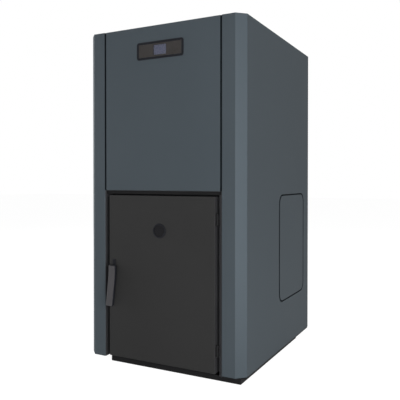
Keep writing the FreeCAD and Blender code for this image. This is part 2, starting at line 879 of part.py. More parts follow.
# Inspection hatch in the right side

def make_hatch():
    def slab(name, x, grow, radius=None):
        piece = block(
            name, x,
            (f"{HATCH_Y} - hatch_width / 2 - ({grow})", f"{HATCH_Y} + hatch_width / 2 + ({grow})"),
            (f"{HATCH_Z} - hatch_height / 2 - ({grow})", f"{HATCH_Z} + hatch_height / 2 + ({grow})"),
        )
        return filleted(name + "_soft", piece, radius, along("x")) if radius else piece

    sill = f"{HALF} - hatch_depth"
    seat = f"{sill} - seal_depth / 8"
    outer = slab("hatch_block", (sill, HALF), "0", "hatch_radius")
    inner = slab("hatch_hollow", (f"{sill} - over", f"{HALF} - skin"), "-skin", "hatch_radius - skin")
    node(cut("hatch_pan", outer, inner), "hatch_cover")

    def studs(name, radius, x, length):
        return [
            rod(f"{name}_{i}{j}", "X", (x, f"{HATCH_Y} + {i} * hatch_width / 4",
                f"{HATCH_Z} + {j} * (hatch_height / 2 - hatch_frame_width / 3)"), radius, length)
            for i in (-1, 1) for j in (-1, 1)
        ]

    pins = studs("hatch_stud", "stud_radius", f"{HALF} - skin - stud_length", "stud_length")
    node(group("hatch_stud_set", *pins), "hatch_studs")

    ring = slab("frame_ring", (f"{seat} - skin", f"{HALF} - skin"), "hatch_frame_width", "hatch_radius")
    rebate = slab("frame_rebate", (seat, HALF), "hatch_seam", "hatch_radius + hatch_seam")
    opening = slab(
        "frame_opening", (f"{seat} - skin - over", HALF), "-hatch_frame_width", "hatch_frame_width"
    )
    holes = studs("hatch_hole", "stud_radius + running_clearance", f"{seat} - skin - over", "stud_length")
    node(cut("frame", ring, rebate, opening, *holes), "hatch_frame")


def rear_pipe(name, start, radius, wall, proud):
    """A pipe that leaves through the back of the casing, with a cover ring on the rear panel."""
    pipe = rod(name + "_body", "Y", start, radius, f"{REAR} + {proud} - ({start[1]})")
    ring = rod(
        name + "_ring",
        "Y",
        (start[0], f"{REAR} - skin", start[2]),
        f"{radius} + ring_width",
        "ring_thickness",
    )
    bore = rod(name + "_bore", "Y", start, f"{radius} - {wall}", f"{REAR} + {proud} - ({start[1]})")
    return cut(name, union(name + "_solid", pipe, ring), bore)


# Boiler: front plate, water jacket, firebox and the gas path behind it

def chute_rod(name, radius):
    """A cylinder along the drop chute's slope, longer than the chute at both ends."""
    piece = doc.addObject("Part::Cylinder", name)
    piece.Placement = FreeCAD.Placement(FreeCAD.Vector(), FreeCAD.Rotation(FreeCAD.Vector(1, 0, 0), 135))
    bind(piece, Radius=radius, Height=f"2 * ({HOPPER_FRONT} - {FIRE_BACK})")
    return bind(piece, x="0", y=f"{HOPPER_FRONT} + chute_radius", z="auger_height + chute_radius")


def tube_rods(name, radius, low, high):
    """One cylinder for each of the upright gas tubes."""
    places = (f"-{TUBE_OUTER}", f"-{TUBE_INNER}", TUBE_INNER, TUBE_OUTER)
    return [
        rod(f"{name}_{i}", "Z", (x, TUBE_Y, low), radius, f"({high}) - ({low})")
        for i, x in enumerate(places, 1)
    ]


def make_boiler():
    mouth_x = span(MOUTH_HALF)
    mouth_z = (FIRE_FLOOR, MOUTH_TOP)
    plate = block("frame_plate", span(SEAM), (FRAME_FACE, FRAME_BACK), (FLOOR, ZONE))
    mouth = block("frame_mouth", mouth_x, (f"{FRAME_FACE} - over", f"{FRAME_BACK} + over"), mouth_z)
    node(cut("frame_plate_cut", plate, mouth), "boiler_front_plate")

    shell = block("jacket_block", span(JACKET_HALF), (FRAME_BACK, JACKET_BACK), (FLOOR, "jacket_top"))
    water = block(
        "jacket_water", span(f"{JACKET_HALF} - jacket_wall"),
        (f"{FRAME_BACK} + jacket_wall", f"{JACKET_BACK} - jacket_wall"),
        (f"{FLOOR} + jacket_wall", "jacket_top - jacket_wall"),
    )
    wall_back = f"{JACKET_BACK} - jacket_wall - over"
    through = "jacket_wall + 2 * over"
    mouth = block(
        "jacket_mouth", mouth_x, (f"{FRAME_BACK} - over", f"{FRAME_BACK} + jacket_wall + over"), mouth_z
    )
    box_y = (f"{FRONT} + smoke_box_front", SMOKE_BACK)
    hatch = block(
        "jacket_hatch", span(MOUTH_HALF), box_y, ("jacket_top - jacket_wall - over", "jacket_top + over")
    )
    gas = rod("jacket_gas_hole", "Y", (FAN_X, wall_back, "fan_height"), "outlet_radius", through)
    air = rod(
        "jacket_air_hole",
        "Y",
        ("0", wall_back, f"{BURNER_FLOOR} + burner_height / 2"),
        "air_pipe_radius",
        through,
    )
    flow = rod("jacket_flow_hole", "Y", (f"-{PIPE_X}", wall_back, "flow_height"), "pipe_radius", through)
    back = rod(
        "jacket_return_hole", "Y", (f"-{PIPE_X}", wall_back, "return_height"), "pipe_radius", through
    )
    chute = chute_rod("jacket_chute_hole", "chute_radius")
    node(cut("jacket", shell, water, mouth, hatch, gas, air, flow, back, chute), "water_jacket")

    rear = FIRE_BACK
    front = f"{FRAME_BACK} + jacket_wall"
    outer = block("firebox_block", span(f"{MOUTH_HALF} + firebox_wall"), (front, rear),
                  (f"{FIRE_FLOOR} - firebox_wall", "jacket_top - smoke_box_height"))
    inner = block("firebox_hollow", mouth_x, (f"{front} + firebox_wall", f"{rear} - firebox_wall"),
                  (FIRE_FLOOR, "jacket_top - smoke_box_height - firebox_wall"))
    mouth = block("firebox_mouth", mouth_x, (f"{front} - over", f"{front} + firebox_wall + over"), mouth_z)
    throat = block(
        "firebox_throat",
        span(f"{MOUTH_HALF} - 2 * firebox_wall"),
        (f"{box_y[0]} + 2 * firebox_wall", f"{rear} - 2 * firebox_wall"),
        ("jacket_top - smoke_box_height - firebox_wall - over", "jacket_top - smoke_box_height + over"),
    )
    air = rod(
        "firebox_air_hole",
        "Y",
        ("0", f"{rear} - firebox_wall - over", f"{BURNER_FLOOR} + burner_height / 2"),
        "air_pipe_radius",
        "firebox_wall + 2 * over",
    )
    chute = chute_rod("firebox_chute_hole", "chute_radius")
    node(cut("firebox_shell", outer, inner, mouth, throat, air, chute), "firebox")

    floor = "jacket_top - smoke_box_height"
    outer = block("smoke_block", span(MOUTH_HALF), box_y, (floor, "jacket_top"))
    inner = block(
        "smoke_hollow",
        span(f"{MOUTH_HALF} - firebox_wall"),
        (f"{box_y[0]} + firebox_wall", f"{box_y[1]} - firebox_wall"),
        (f"{floor} + firebox_wall", "jacket_top + over"),
    )
    throat = block("smoke_throat", span(f"{MOUTH_HALF} - 2 * firebox_wall"),
                   (f"{box_y[0]} + 2 * firebox_wall", f"{rear} - 2 * firebox_wall"),
                   (f"{floor} - over", f"{floor} + firebox_wall + over"))
    holes = tube_rods("smoke_tube_hole", "tube_radius", f"{floor} - over", f"{floor} + firebox_wall + over")
    node(cut("smoke_shell", outer, inner, throat, *holes), "smoke_box")

    pipes = tube_rods(
        "fire_tube", "tube_radius", f"{COLLECTOR_TOP} - firebox_wall", f"{floor} + firebox_wall"
    )
    bores = tube_rods(
        "fire_tube_bore",
        "tube_radius - tube_wall",
        f"{COLLECTOR_TOP} - firebox_wall",
        f"{floor} + firebox_wall",
    )
    node(
        group(
            "fire_tube_set",
            *[cut(f"{pipe.Name}_hollow", pipe, bore) for pipe, bore in zip(pipes, bores)],
        ),
        "fire_tubes",
    )

    outer = block("collector_block", span(MOUTH_HALF), (f"{FIRE_BACK} + collector_gap", box_y[1]),
                  ("collector_floor", COLLECTOR_TOP))
    inner = block("collector_hollow", span(f"{MOUTH_HALF} - firebox_wall"),
                  (f"{FIRE_BACK} + collector_gap + firebox_wall", f"{box_y[1]} - firebox_wall"),
                  ("collector_floor + firebox_wall", f"{COLLECTOR_TOP} - firebox_wall"))
    holes = tube_rods(
        "collector_tube_hole",
        "tube_radius",
        f"{COLLECTOR_TOP} - firebox_wall - over",
        f"{COLLECTOR_TOP} + over",
    )
    gas = rod(
        "collector_gas_hole",
        "Y",
        (FAN_X, f"{box_y[1]} - firebox_wall - over", "fan_height"),
        "outlet_radius",
        "firebox_wall + 2 * over",
    )
    chest = cut("collector_shell", outer, inner, gas, *holes)
    start = (FAN_X, f"{box_y[1]} - firebox_wall", "fan_height")
    spigot = tube("collector_spigot", "Y", start, "outlet_radius", "tube_wall",
                  f"{FAN_FRONT} - ({start[1]})")
    node(union("collector", chest, spigot), "smoke_collector")

    cover = block(
        "cleaning_plate",
        span(f"{JACKET_HALF} - insulation / 2"),
        (f"{box_y[0]} - insulation / 2", f"{box_y[1]}"),
        ("jacket_top", "jacket_top + front_plate"),
    )
    node(cover, "cleaning_cover")

    outer = block("blanket_block", span(f"{JACKET_HALF} + insulation"), (FRAME_BACK, JACKET_BACK),
                  (FLOOR, "jacket_top + insulation"))
    body = block("blanket_hollow", span(JACKET_HALF), (f"{FRAME_BACK} - over", f"{JACKET_BACK} + over"),
                 (f"{FLOOR} - over", "jacket_top"))
    access = block(
        "blanket_access",
        span(f"{JACKET_HALF} - insulation / 2"),
        (f"{box_y[0]} - insulation / 2", f"{JACKET_BACK} + over"),
        ("jacket_top - over", "jacket_top + insulation + over"),
    )
    node(cut("blanket", outer, body, access), "jacket_insulation")


def make_burner():
    middle = f"{FIRE_BACK} - firebox_wall - pot_offset"
    rear = f"{FIRE_BACK} - firebox_wall"
    floor = f"{BURNER_FLOOR} + burner_height"

    def cup(name, inset, z):
        return block(name, span(f"pot_half - ({inset})"),
                     (f"{middle} - pot_half + ({inset})", f"{middle} + pot_half - ({inset})"), z)

    pot = cup("pot_block", "0", (floor, f"{floor} + pot_height"))
    bowl = cup("pot_bowl", "pot_wall", (f"{floor} + pot_wall", f"{floor} + pot_height + over"))
    holes = []
    for level in (1, 2):
        z = f"{floor} + {level} * pot_height / 3"
        for i in (-1.5, -0.5, 0.5, 1.5):
            step = f"{i} * pot_half / 2.5"
            holes.append(
                rod(
                    f"air_hole_x{level}{i}",
                    "X",
                    ("-pot_half - over", f"{middle} + {step}", z),
                    "air_hole_radius",
                    "2 * pot_half + 2 * over",
                ),
            )
            holes.append(
                rod(
                    f"air_hole_y{level}{i}",
                    "Y",
                    (step, f"{middle} - pot_half - over", z),
                    "air_hole_radius",
                    "2 * pot_half + 2 * over",
                ),
            )
    node(cut("pot", pot, bowl, *holes), "burner_pot")

    box = block(
        "burner_block", span("burner_half"), (f"{middle} - burner_depth", rear), (BURNER_FLOOR, floor)
    )
    hollow = block("burner_hollow", span("burner_half - burner_wall"),
                   (f"{middle} - burner_depth + burner_wall", f"{rear} - burner_wall"),
                   (f"{BURNER_FLOOR} + burner_wall", f"{floor} - burner_wall"))
    level = f"{BURNER_FLOOR} + burner_height / 2"
    inside = f"{rear} - burner_wall"
    tail = f"{JACKET_BACK} + spigot_reach"
    reach = f"{tail} - ({inside})"
    spigot = rod("burner_spigot", "Y", ("0", inside, level), "air_pipe_radius", reach)
    inlet = rod(
        "burner_inlet",
        "Y",
        ("0", f"{inside} - over", level),
        "air_pipe_radius - air_pipe_wall",
        f"{reach} + 2 * over",
    )
    shell = union("burner_shell", cut("burner_case", box, hollow), spigot)
    node(cut("burner", shell, inlet), "burner_box")

    start = ("0", tail, level)
    node(rear_pipe("air_tube", start, "air_pipe_radius", "air_pipe_wall", "air_pipe_proud"), "air_pipe")

    back = f"{rear} - drawer_rear"
    front = f"{back} - drawer_length"
    low = f"{FIRE_FLOOR} + fit_gap"
    tray = block(
        "drawer_block",
        span(f"{MOUTH_HALF} - drawer_side_gap"),
        (front, back),
        (low, f"{low} + drawer_height"),
    )
    hollow = block(
        "drawer_hollow",
        span(f"{MOUTH_HALF} - drawer_side_gap - drawer_sheet"),
        (f"{front} + drawer_sheet", f"{back} - drawer_sheet"),
        (f"{low} + drawer_sheet", f"{low} + drawer_height + over"),
    )
    level = f"{low} + drawer_height / 2"
    bars = (f"{level} - pull_bar", f"{level} + pull_bar")
    pull = block("drawer_pull", span("pull_half"), (f"{front} - pull_reach", front), bars)
    grip = block(
        "drawer_grip",
        span("pull_half - 2 * pull_bar"),
        (f"{front} - pull_reach + pull_bar", f"{front} + over"),
        (f"{level} - pull_bar - over", f"{level} + pull_bar + over"),
    )
    node(union("drawer", cut("drawer_tray", tray, hollow), cut("drawer_handle", pull, grip)), "ash_drawer")


# Pellet store and feed

def make_hopper():
    front, back = HOPPER_FRONT, HOPPER_BACK
    trough_back = TROUGH_BACK

    def bin_block(name, inset, z):
        return block(
            name, span(f"{HOPPER_HALF} - ({inset})"), (f"{front} + ({inset})", f"{back} - ({inset})"), z
        )

    def funnel(name, inset, extra):
        """A four-sided taper from the bin down to the trough."""
        piece = doc.addObject("Part::Wedge", name)
        piece.Placement = FreeCAD.Placement(FreeCAD.Vector(), FreeCAD.Rotation(FreeCAD.Vector(1, 0, 0), 90))
        return bind(
            piece,
            Xmin=f"-trough_half + {inset}", Xmax=f"trough_half - {inset}",
            X2min=f"-{HOPPER_HALF} + {inset}", X2max=f"{HOPPER_HALF} - {inset}",
            Ymin=f"trough_top - {extra}", Ymax=f"funnel_top + {extra}",
            Zmin=f"-({trough_back}) + {inset}", Zmax=f"-({front}) - {inset}",
            Z2min=f"-({back}) + {inset}", Z2max=f"-({front}) - {inset}",
        )

    walls = cut("bin_walls", bin_block("bin_block", "0", ("funnel_top", TOP)),
                bin_block("bin_hollow", "hopper_sheet", ("funnel_top - over", f"{TOP} + over")))
    taper = cut("bin_taper", funnel("taper_block", "0", "0"), funnel("taper_hollow", "funnel_wall", "0"))
    node(union("bin", walls, taper), "pellet_hopper")

    def channel(name, inset, y, top):
        """A U section round the feed screw."""
        low = rod(
            name + "_round",
            "Y",
            ("0", y[0], "auger_height"),
            f"trough_half - {inset}",
            f"({y[1]}) - ({y[0]})",
        )
        high = block(name + "_sides", span(f"trough_half - {inset}"), y, ("auger_height", top))
        return union(name, low, high)

    outer = channel("trough_block", "0", (front, trough_back), "trough_top")
    inner = channel(
        "trough_hollow",
        "trough_wall",
        (f"{front} + trough_wall", f"{trough_back} - trough_wall"),
        "trough_top + over",
    )
    gate = chute_rod("trough_gate", "chute_radius - chute_wall")
    bearing = rod("trough_bearing", "Y", ("0", f"{trough_back} - trough_wall - over", "auger_height"),
                  "auger_shaft_radius + running_clearance", "trough_wall + 2 * over")
    node(cut("trough", outer, inner, gate, bearing), "auger_trough")

    pipe = cut(
        "chute_pipe",
        chute_rod("chute_outer", "chute_radius"),
        chute_rod("chute_bore", "chute_radius - chute_wall"),
    )
    trimmed = doc.addObject("Part::Common", "chute_trimmed")
    trimmed.Base = pipe
    trimmed.Tool = block(
        "chute_reach", span("2 * chute_radius"),
        (f"{FIRE_BACK} - firebox_wall - chute_overhang", front), (BURNER_FLOOR, "funnel_top"),
    )
    node(trimmed, "drop_chute")

    body = doc.addObject("PartDesign::Body", "auger_body")
    body.Placement = FreeCAD.Placement(FreeCAD.Vector(), FreeCAD.Rotation(FreeCAD.Vector(1, 0, 0), 90))
    start = f"{trough_back} - 2 * trough_wall"
    bind(body, x="0", y=start, z="auger_height")
    length = f"{start} - ({front}) - 2 * trough_wall"
    blade = rectangle("auger_shaft_radius - flight_thickness", "auger_radius", "0", "flight_thickness")
    flight = body.newObject("PartDesign::AdditiveHelix", "auger_helix")
    flight.Profile = outline(body, "flight_section", "XZ_Plane", blade)
    flight.ReferenceAxis = (plane(body, "Z_Axis"), [""])
    flight.Mode = "pitch-height-angle"
    flight.setExpression("Pitch", cells("auger_pitch"))
    flight.setExpression("Height", cells(f"{length} - 2 * flight_thickness"))
    shaft = rod(
        "auger_shaft",
        "Y",
        ("0", f"{front} + 2 * trough_wall", "auger_height"),
        "auger_shaft_radius",
        f"{trough_back} + gearbox_depth / 2 - ({front}) - 2 * trough_wall",
    )
    node(union("auger", body, shaft), "feed_auger")

    box = block("gearbox_block", span("gearbox_half"), (trough_back, f"{trough_back} + gearbox_depth"),
                ("auger_height - gearbox_half", "auger_height + gearbox_half"))
    bore = rod(
        "gearbox_bore",
        "Y",
        ("0", f"{trough_back} - over", "auger_height"),
        "auger_shaft_radius + running_clearance",
        "gearbox_depth / 2 + 2 * over",
    )
    motor = rod(
        "gear_motor_can",
        "Y",
        ("0", f"{trough_back} + gearbox_depth", "auger_height"),
        "motor_radius",
        "motor_depth",
    )
    node(union("gear_drive", cut("gearbox", box, bore), motor), "gear_motor")


def make_lid():
    """The hopper's lid: a shallow pan over the collar, hinged along its rear edge."""
    front, back = f"{HOPPER_FRONT} - lid_margin", f"{HOPPER_BACK} + lid_margin"
    low, high = f"{TOP} + fit_gap", f"{TOP} + lid_height"
    outer = block("lid_block", span(f"{HOPPER_HALF} + lid_margin"), (front, back), (low, high))
    soft = filleted("lid_soft", outer, "lid_edge", either(upright, on_plane("z", high)))
    inner = block(
        "lid_hollow",
        span(f"{HOPPER_HALF} + lid_margin - lid_sheet"),
        (f"{front} + lid_sheet", f"{back} - lid_sheet"),
        (f"{low} - over", f"{high} - lid_sheet"),
    )
    axis_y = f"{back} + lid_hinge_radius + 2 * fit_gap"
    axis_z = f"{TOP} + lid_hinge_radius + fit_gap"
    moving, fixed = [], []
    for name, side in (("left", -1), ("right", 1)):
        middle = f"{side} * {LID_HINGE_X}"
        ring = rod(
            f"lid_ring_{name}",
            "X",
            (f"{middle} - lid_knuckle / 2", axis_y, axis_z),
            "lid_hinge_radius",
            "lid_knuckle",
        )
        web = block(
            f"lid_web_{name}",
            (f"{middle} - lid_knuckle / 2", f"{middle} + lid_knuckle / 2"),
            (f"{back} - lid_sheet", axis_y),
            (f"{axis_z} - lid_pin_radius", f"{axis_z} + lid_pin_radius"),
        )
        moving += [ring, web]
        bore = rod(f"lid_bore_{name}", "X", (f"{middle} - lid_knuckle", axis_y, axis_z),
                   "lid_pin_radius + running_clearance", "2 * lid_knuckle")
        outward = "lid_knuckle / 2 + fit_gap"
        parts = [
            rod(
                f"lid_pin_{name}",
                "X",
                (f"{middle} - lid_knuckle", axis_y, axis_z),
                "lid_pin_radius",
                "2 * lid_knuckle",
            ),
        ]
        for end, x in (("in", f"{middle} - lid_knuckle"), ("out", f"{middle} + {outward}")):
            length = "lid_knuckle / 2 - fit_gap"
            parts.append(rod(f"lid_eye_{name}_{end}", "X", (x, axis_y, axis_z), "lid_hinge_radius", length))
            parts.append(block(f"lid_foot_{name}_{end}", (x, f"{x} + {length}"),
                               (f"{axis_y} - lid_pin_radius", f"{axis_y} + lid_pin_radius"), (TOP, axis_z)))
        fixed.append(union(f"lid_bracket_{name}", *parts))
        moving.append(bore)
    bores = [piece for piece in moving if "bore" in piece.Name]
    leaves = [piece for piece in moving if "bore" not in piece.Name]
    shell = cut("lid_shell", soft, inner)
    node(cut("lid", union("lid_solid", shell, *leaves), *bores), "hopper_lid")
    node(group("lid_brackets", *fixed), "lid_hinge_brackets")

    def seal_block(name, grow, extra):
        return block(name, span(f"{HOPPER_HALF} + ({grow})"),
                     (f"{HOPPER_FRONT} - ({grow})", f"{HOPPER_BACK} + ({grow})"),
                     (f"{TOP} + collar_height + fit_gap - {extra}", f"{high} - lid_sheet + {extra}"))

    seal = cut("lid_gasket", seal_block("lid_gasket_outer", "lid_seal_width / 2", "0"),
               seal_block("lid_gasket_inner", "-lid_seal_width / 2", "1"))
    node(seal, "lid_seal")


# Flue fan, flue and water pipes

def make_flue():
    front = FAN_FRONT
    back = f"{front} + fan_depth"

    def scroll(name, inset):
        drum = rod(
            name + "_drum",
            "Y",
            (FAN_X, f"{front} + {inset}", "fan_height"),
            f"fan_radius - {inset}",
            f"fan_depth - 2 * {inset}",
        )
        duct = block(name + "_duct", (f"{FLUE_X} - duct_half + {inset}", f"{FLUE_X} + duct_half - {inset}"),
                     (f"{front} + {inset}", f"{back} - {inset}"), ("fan_height", f"duct_top - {inset}"))
        return union(name, drum, duct)

    gas = rod(
        "scroll_gas_hole",
        "Y",
        (FAN_X, f"{front} - over", "fan_height"),
        "outlet_radius - tube_wall",
        "fan_wall + 2 * over",
    )
    shaft = rod("scroll_shaft_hole", "Y", (FAN_X, f"{back} - fan_wall - over", "fan_height"),
                "fan_shaft_radius + running_clearance", "fan_wall + 2 * over")
    outlet = rod(
        "scroll_outlet",
        "Y",
        (FLUE_X, f"{back} - fan_wall - over", "flue_height"),
        "duct_half - fan_wall",
        "fan_wall + 2 * over",
    )
    hollow = scroll("scroll_hollow", "fan_wall")
    node(cut("scroll", scroll("scroll_block", "0"), hollow, gas, shaft, outlet), "fan_housing")

    rim = f"{front} + fan_wall + blade_depth / 4"
    disc = rod(
        "impeller_disc",
        "Y",
        (FAN_X, f"{rim} + blade_depth", "fan_height"),
        "impeller_radius",
        "impeller_plate",
    )
    blades = []
    for i in range(int(size("blades"))):
        blade = doc.addObject("Part::Box", f"impeller_blade_{i}")
        blade.Placement.Rotation = FreeCAD.Rotation(FreeCAD.Vector(0, 1, 0), 360 * i / size("blades"))
        turn = math.radians(360 * i / size("blades"))
        bind(blade, Length="impeller_radius - impeller_eye", Width="blade_depth", Height="impeller_plate")
        bind(
            blade,
            x=f"{FAN_X} + {math.cos(turn):.9f} * impeller_eye",
            y=rim,
            z=f"fan_height - ({math.sin(turn):.9f}) * impeller_eye",
        )
        blades.append(blade)
    axle = rod("impeller_axle", "Y", (FAN_X, f"{rim} + blade_depth", "fan_height"), "fan_shaft_radius",
               f"{back} - ({rim}) - blade_depth + fan_motor_depth / 3")
    node(union("impeller", disc, axle, *blades), "fan_impeller")

    can = rod("fan_motor_can", "Y", (FAN_X, back, "fan_height"), "fan_motor_radius", "fan_motor_depth")
    bore = rod(
        "fan_motor_bore",
        "Y",
        (FAN_X, f"{back} - over", "fan_height"),
        "fan_shaft_radius + running_clearance",
        "fan_motor_depth / 3 + 2 * over",
    )
    node(cut("fan_motor_body", can, bore), "fan_motor")

    node(
        rear_pipe("flue", (FLUE_X, back, "flue_height"), "flue_radius", "flue_wall", "flue_proud"),
        "flue_pipe",
    )

    for label, level in (("flow_pipe", "flow_height"), ("return_pipe", "return_height")):
        start = (f"-{PIPE_X}", f"{JACKET_BACK} - jacket_wall", level)
        node(rear_pipe(label + "_tube", start, "pipe_radius", "pipe_wall", "pipe_proud"), label)


# Back of the casing: the panel, the mains inlet with its switch, and the fixings

def make_back():
    face = f"{REAR} - skin"
    inner = f"{REAR} - 2 * skin"
    sheet_back = block("rear_sheet", span(f"{HALF} - skin - fit_gap"), (inner, face), (BASE, TOP))

    def hole(name, x, z, radius):
        return rod(name, "Y", (x, f"{inner} - over", z), radius, "skin + 2 * over")

    holes = [
        hole("rear_flue_hole", FLUE_X, "flue_height", "flue_radius"),
        hole("rear_air_hole", "0", f"{BURNER_FLOOR} + burner_height / 2", "air_pipe_radius"),
        hole("rear_flow_hole", f"-{PIPE_X}", "flow_height", "pipe_radius"),
        hole("rear_return_hole", f"-{PIPE_X}", "return_height", "pipe_radius"),
        block(
            "rear_inlet_hole",
            (f"{INLET_X} - inlet_half_width", f"{INLET_X} + inlet_half_width"),
            (f"{inner} - over", f"{face} + over"),
            ("inlet_height - inlet_half_height", "inlet_height + inlet_half_height"),
        ),
    ]
    node(cut("rear_sheet_cut", sheet_back, *holes), "rear_panel")

    rise = "inlet_height + rocker_rise"
    deep = f"{face} + inlet_flange - rocker_depth"
    front = f"{face} + inlet_flange"
    case = block(
        "inlet_case",
        (f"{INLET_X} - inlet_half_width", f"{INLET_X} + inlet_half_width"),
        (f"{face} - inlet_depth", face),
        ("inlet_height - inlet_half_height", "inlet_height + inlet_half_height"),
    )
    flange = block(
        "inlet_plate",
        (f"{INLET_X} - inlet_half_width - inlet_flange", f"{INLET_X} + inlet_half_width + inlet_flange"),
        (face, front),
        (
            "inlet_height - inlet_half_height - inlet_flange",
            "inlet_height + inlet_half_height + inlet_flange",
        ),
    )
    low = "inlet_height - socket_drop"
    socket = block(
        "inlet_socket",
        (f"{INLET_X} - socket_half_width", f"{INLET_X} + socket_half_width"),
        (f"{front} - socket_depth", f"{front} + over"),
        (f"{low} - socket_half_height", f"{low} + socket_half_height"),
    )
    bay = block(
        "rocker_bay",
        (f"{INLET_X} - rocker_half_width - 2 * fit_gap", f"{INLET_X} + rocker_half_width + 2 * fit_gap"),
        (deep, f"{front} + over"),
        (f"{rise} - rocker_half_height - 5 * fit_gap", f"{rise} + rocker_half_height + 5 * fit_gap"),
    )
    node(cut("inlet", union("inlet_solid", case, flange), socket, bay), "power_inlet")

    body = doc.addObject("PartDesign::Body", "rocker_body")
    pivot = f"{front} - rocker_depth / 3"
    path = [
        (pivot, f"{rise} - rocker_half_height"),
        (f"{front} + inlet_flange", f"{rise} - rocker_half_height"),
        (f"{front} + inlet_flange / 3", rise),
        (f"{front} + inlet_flange / 3", f"{rise} + rocker_half_height"),
        (pivot, f"{rise} + rocker_half_height"),
    ]
    pad(
        body,
        "rocker_key",
        outline(body, "rocker_profile", "YZ_Plane", path, f"{INLET_X} - rocker_half_width"),
        "2 * rocker_half_width",
    )
    node(body, "main_switch")

    heads = [
        screw_head(f"rear_screw_{i}{j}", f"{i} * ({HALF} - screw_inset)", REAR,
                   f"{BASE} + case_height / 2 + {j} * (case_height / 2 - 3 * screw_inset)",
                   TURNS["Y"], "screw_radius", "screw_height")
        for i in (-1, 1) for j in (-1, 0, 1)
    ]
    node(group("rear_screw_set", *heads), "rear_panel_screws")


make_casing()
make_door_surround()
make_top_panel()
make_display()
make_door()
make_hinges()
make_latch()
make_hatch()
make_boiler()
make_burner()
make_hopper()
make_lid()
make_flue()
make_back()

doc.recompute()
failed = [piece.Label for piece in doc.Objects if "Invalid" in piece.State or "Error" in piece.State]
assert not failed, f"not built: {failed}"
for piece in nodes:
    assert not piece.Shape.isNull() and piece.Shape.isValid(), f"no sound shape: {piece.Label}"

os.makedirs("parts", exist_ok=True)
for piece in nodes:
    piece.Shape.exportStep(f"parts/{piece.Label}.step")
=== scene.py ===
import json
import math

import bmesh
import bpy
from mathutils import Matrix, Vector, noise


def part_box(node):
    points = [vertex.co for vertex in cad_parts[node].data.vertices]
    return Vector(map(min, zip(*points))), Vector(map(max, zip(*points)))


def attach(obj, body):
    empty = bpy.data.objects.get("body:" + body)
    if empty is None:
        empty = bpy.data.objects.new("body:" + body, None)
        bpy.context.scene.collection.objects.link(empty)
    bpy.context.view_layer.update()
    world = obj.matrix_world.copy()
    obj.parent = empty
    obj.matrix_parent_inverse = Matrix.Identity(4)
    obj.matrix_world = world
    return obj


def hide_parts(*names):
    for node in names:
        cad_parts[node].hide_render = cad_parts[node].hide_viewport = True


mm = 0.001  # the pieces' dictionaries hold sizes in mm
weldDistance = 1e-6
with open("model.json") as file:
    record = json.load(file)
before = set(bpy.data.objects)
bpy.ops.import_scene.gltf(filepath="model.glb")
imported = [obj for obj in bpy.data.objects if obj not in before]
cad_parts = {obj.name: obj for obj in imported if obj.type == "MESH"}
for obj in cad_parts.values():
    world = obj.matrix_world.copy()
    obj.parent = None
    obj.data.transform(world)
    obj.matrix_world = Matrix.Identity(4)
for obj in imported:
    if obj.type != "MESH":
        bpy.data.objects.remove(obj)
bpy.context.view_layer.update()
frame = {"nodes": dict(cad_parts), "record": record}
nodes = frame["nodes"]
record = frame["record"]
bodyOf = {node: body for body, group in record["behaviour"]["bodies"].items() for node in group}
slotOf = {part["node"]: part["material_slot"] for part in record["subparts"]}


# shader helpers: every pattern sits on Object coordinates, in metres

# the part of each pattern's range that is stretched over the whole
contrast = {
    "paint": (0.35, 0.65), "chip": (0.4, 0.62), "stain": (0.35, 0.7), "brush": (0.3, 0.7),
    "strand": (0.35, 0.65), "plait": (0.2, 0.9), "fleck": (0.1, 0.6), "soot": (0.4, 0.7),
    "line": (0.0, 0.25), "smear": (0.4, 0.8),
}


# a hex colour as the linear one that shaders take
def linear(code):
    values = [int(code[i:i + 2], 16) / 255 for i in (1, 3, 5)]
    return [v / 12.92 if v <= 0.04045 else ((v + 0.055) / 1.055) ** 2.4 for v in values] + [1.0]


def startFinish(name):
    material = bpy.data.materials.new(name)
    material.use_nodes = True
    tree = material.node_tree
    return material, tree, tree.nodes["Principled BSDF"]


def place(tree, scale=(1, 1, 1), turn=(0, 0, 0)):
    coords = tree.nodes.new("ShaderNodeTexCoord")
    mapping = tree.nodes.new("ShaderNodeMapping")
    mapping.inputs["Scale"].default_value = scale
    mapping.inputs["Rotation"].default_value = turn
    tree.links.new(coords.outputs["Object"], mapping.inputs["Vector"])
    return mapping.outputs["Vector"]


def cloud(tree, point, scale, detail=3.0, rough=0.55):
    field = tree.nodes.new("ShaderNodeTexNoise")
    field.inputs["Scale"].default_value = scale
    field.inputs["Detail"].default_value = detail
    field.inputs["Roughness"].default_value = rough
    tree.links.new(point, field.inputs["Vector"])
    return field.outputs["Fac"]


def flakes(tree, point, scale, output):
    field = tree.nodes.new("ShaderNodeTexVoronoi")
    field.inputs["Scale"].default_value = scale
    tree.links.new(point, field.inputs["Vector"])
    return field.outputs[output]


def stripes(tree, point, scale, direction, profile="SIN"):
    field = tree.nodes.new("ShaderNodeTexWave")
    field.bands_direction = direction
    field.wave_profile = profile
    field.inputs["Scale"].default_value = scale
    tree.links.new(point, field.inputs["Vector"])
    return field.outputs["Fac"]


def remap(tree, value, source, target=(0.0, 1.0)):
    node = tree.nodes.new("ShaderNodeMapRange")
    for name, number in zip(("From Min", "From Max", "To Min", "To Max"), (*source, *target)):
        node.inputs[name].default_value = number
    tree.links.new(value, node.inputs["Value"])
    return node.outputs["Result"]


def combine(tree, operation, a, b):
    node = tree.nodes.new("ShaderNodeMath")
    node.operation = operation
    for socket, value in zip(node.inputs, (a, b)):
        if isinstance(value, (int, float)):
            socket.default_value = value
        else:
            tree.links.new(value, socket)
    return node.outputs["Value"]


